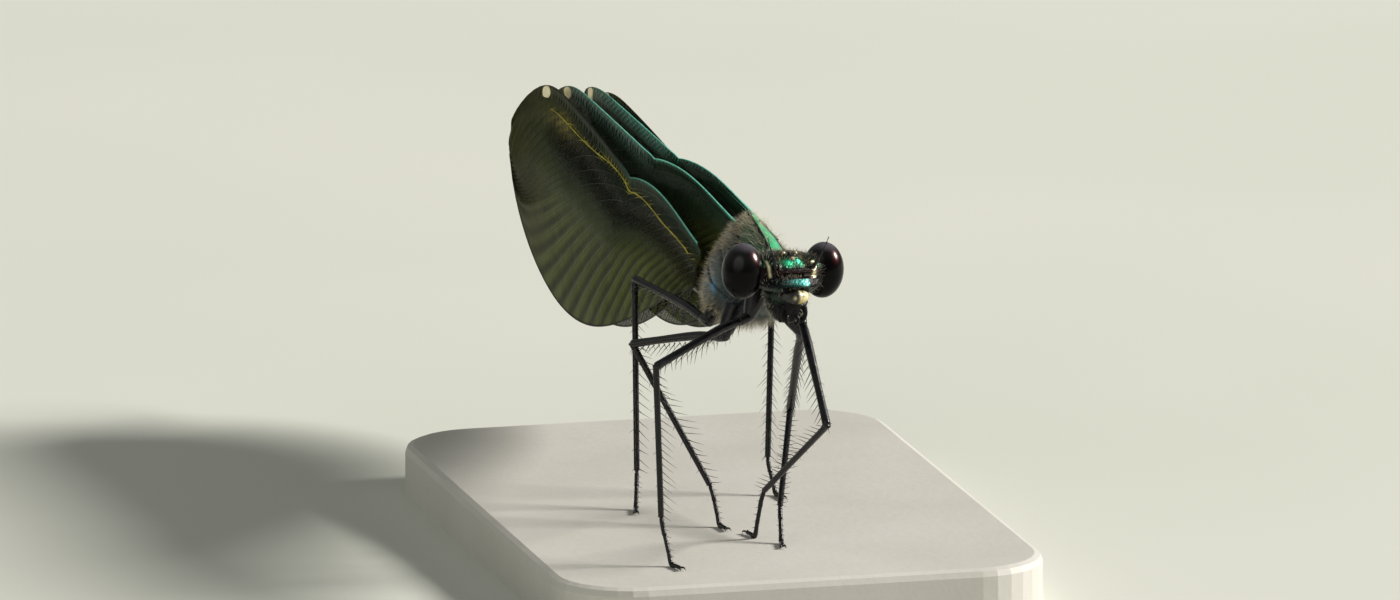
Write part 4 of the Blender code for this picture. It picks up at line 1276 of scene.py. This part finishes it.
def make_camera():
    """Set the camera at the photograph's angle, with the head where the photograph has it."""
    turn = Matrix.Rotation(CAMERA_TURN, 3, "Z")
    right = turn @ Vector((1, 0, 0))
    back = turn @ Vector((0, -math.cos(CAMERA_HEIGHT), math.sin(CAMERA_HEIGHT)))
    up = back.cross(right)
    aside = (HEAD_IN_IMAGE[0] - IMAGE_SIZE[0] / 2) / PIXELS_PER_MM * MM
    above = (IMAGE_SIZE[1] / 2 - HEAD_IN_IMAGE[1]) / PIXELS_PER_MM * MM
    looked_at = HEAD_MIDDLE - right * aside - up * above
    data = bpy.data.cameras.new("camera")
    data.sensor_width = SENSOR_WIDTH
    data.lens = PIXELS_PER_MM * SENSOR_WIDTH / IMAGE_SIZE[0] * CAMERA_DISTANCE / MM
    data.clip_end = 200.0
    camera = add_object("camera", data)
    turned = Matrix((right, up, back)).transposed().to_4x4()
    camera.matrix_world = Matrix.Translation(looked_at + back * CAMERA_DISTANCE) @ turned
    bpy.context.scene.camera = camera


def add_soft_light(name, towards, distance, size, power, colour):
    """Hang a round soft light in a direction from the head, facing it."""
    data = bpy.data.lights.new(name, "AREA")
    data.shape = "DISK"
    data.size = size
    data.energy = power
    data.color = to_linear(colour)
    way = Vector(towards).normalized()
    facing = way.to_track_quat("Z", "Y").to_matrix().to_4x4()
    add_object(name, data).matrix_world = Matrix.Translation(HEAD_MIDDLE + way * distance) @ facing


def make_lights():
    """Light the model as in the photograph: a key high on its left, a wide fill, and an even sky."""
    add_soft_light("key", (0.82, -0.06, 0.46), 3.0, 0.8, 155.0, "#fffaf3")
    add_soft_light("fill", (-0.75, -0.66, 0.50), 2.4, 2.6, 12.5, "#faf7ea")
    world = bpy.data.worlds.new("studio")
    world.use_nodes = True
    world.node_tree.nodes.clear()
    sky = add_node(world.node_tree, "ShaderNodeBackground", None,
                   {"Color": (*to_linear("#e6e9e4"), 1.0), "Strength": 0.26})
    add_node(world.node_tree, "ShaderNodeOutputWorld", None, {"Surface": sky.outputs[0]})
    bpy.context.scene.world = world
    bpy.context.scene.view_settings.view_transform = "Standard"


def main():
    """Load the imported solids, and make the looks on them."""
    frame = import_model()
    make_camera()
    make_lights()
    make_floor()
    looks = make_finishes()
    head = make_head(looks)
    make_eyes(looks)
    jaws = make_mouth(looks)
    make_antennae(looks)
    trunk = make_trunk(looks)
    make_abdomen(looks)
    for name in LEGS:
        make_leg(name, looks)
    make_claws(looks)
    make_wings(looks)
    make_body_hair(looks, trunk, head, jaws)
    make_bristles(looks)
    base = frame["nodes"]["stand_base"].data
    base.materials.clear()
    base.materials.append(make_base_finish())


main()
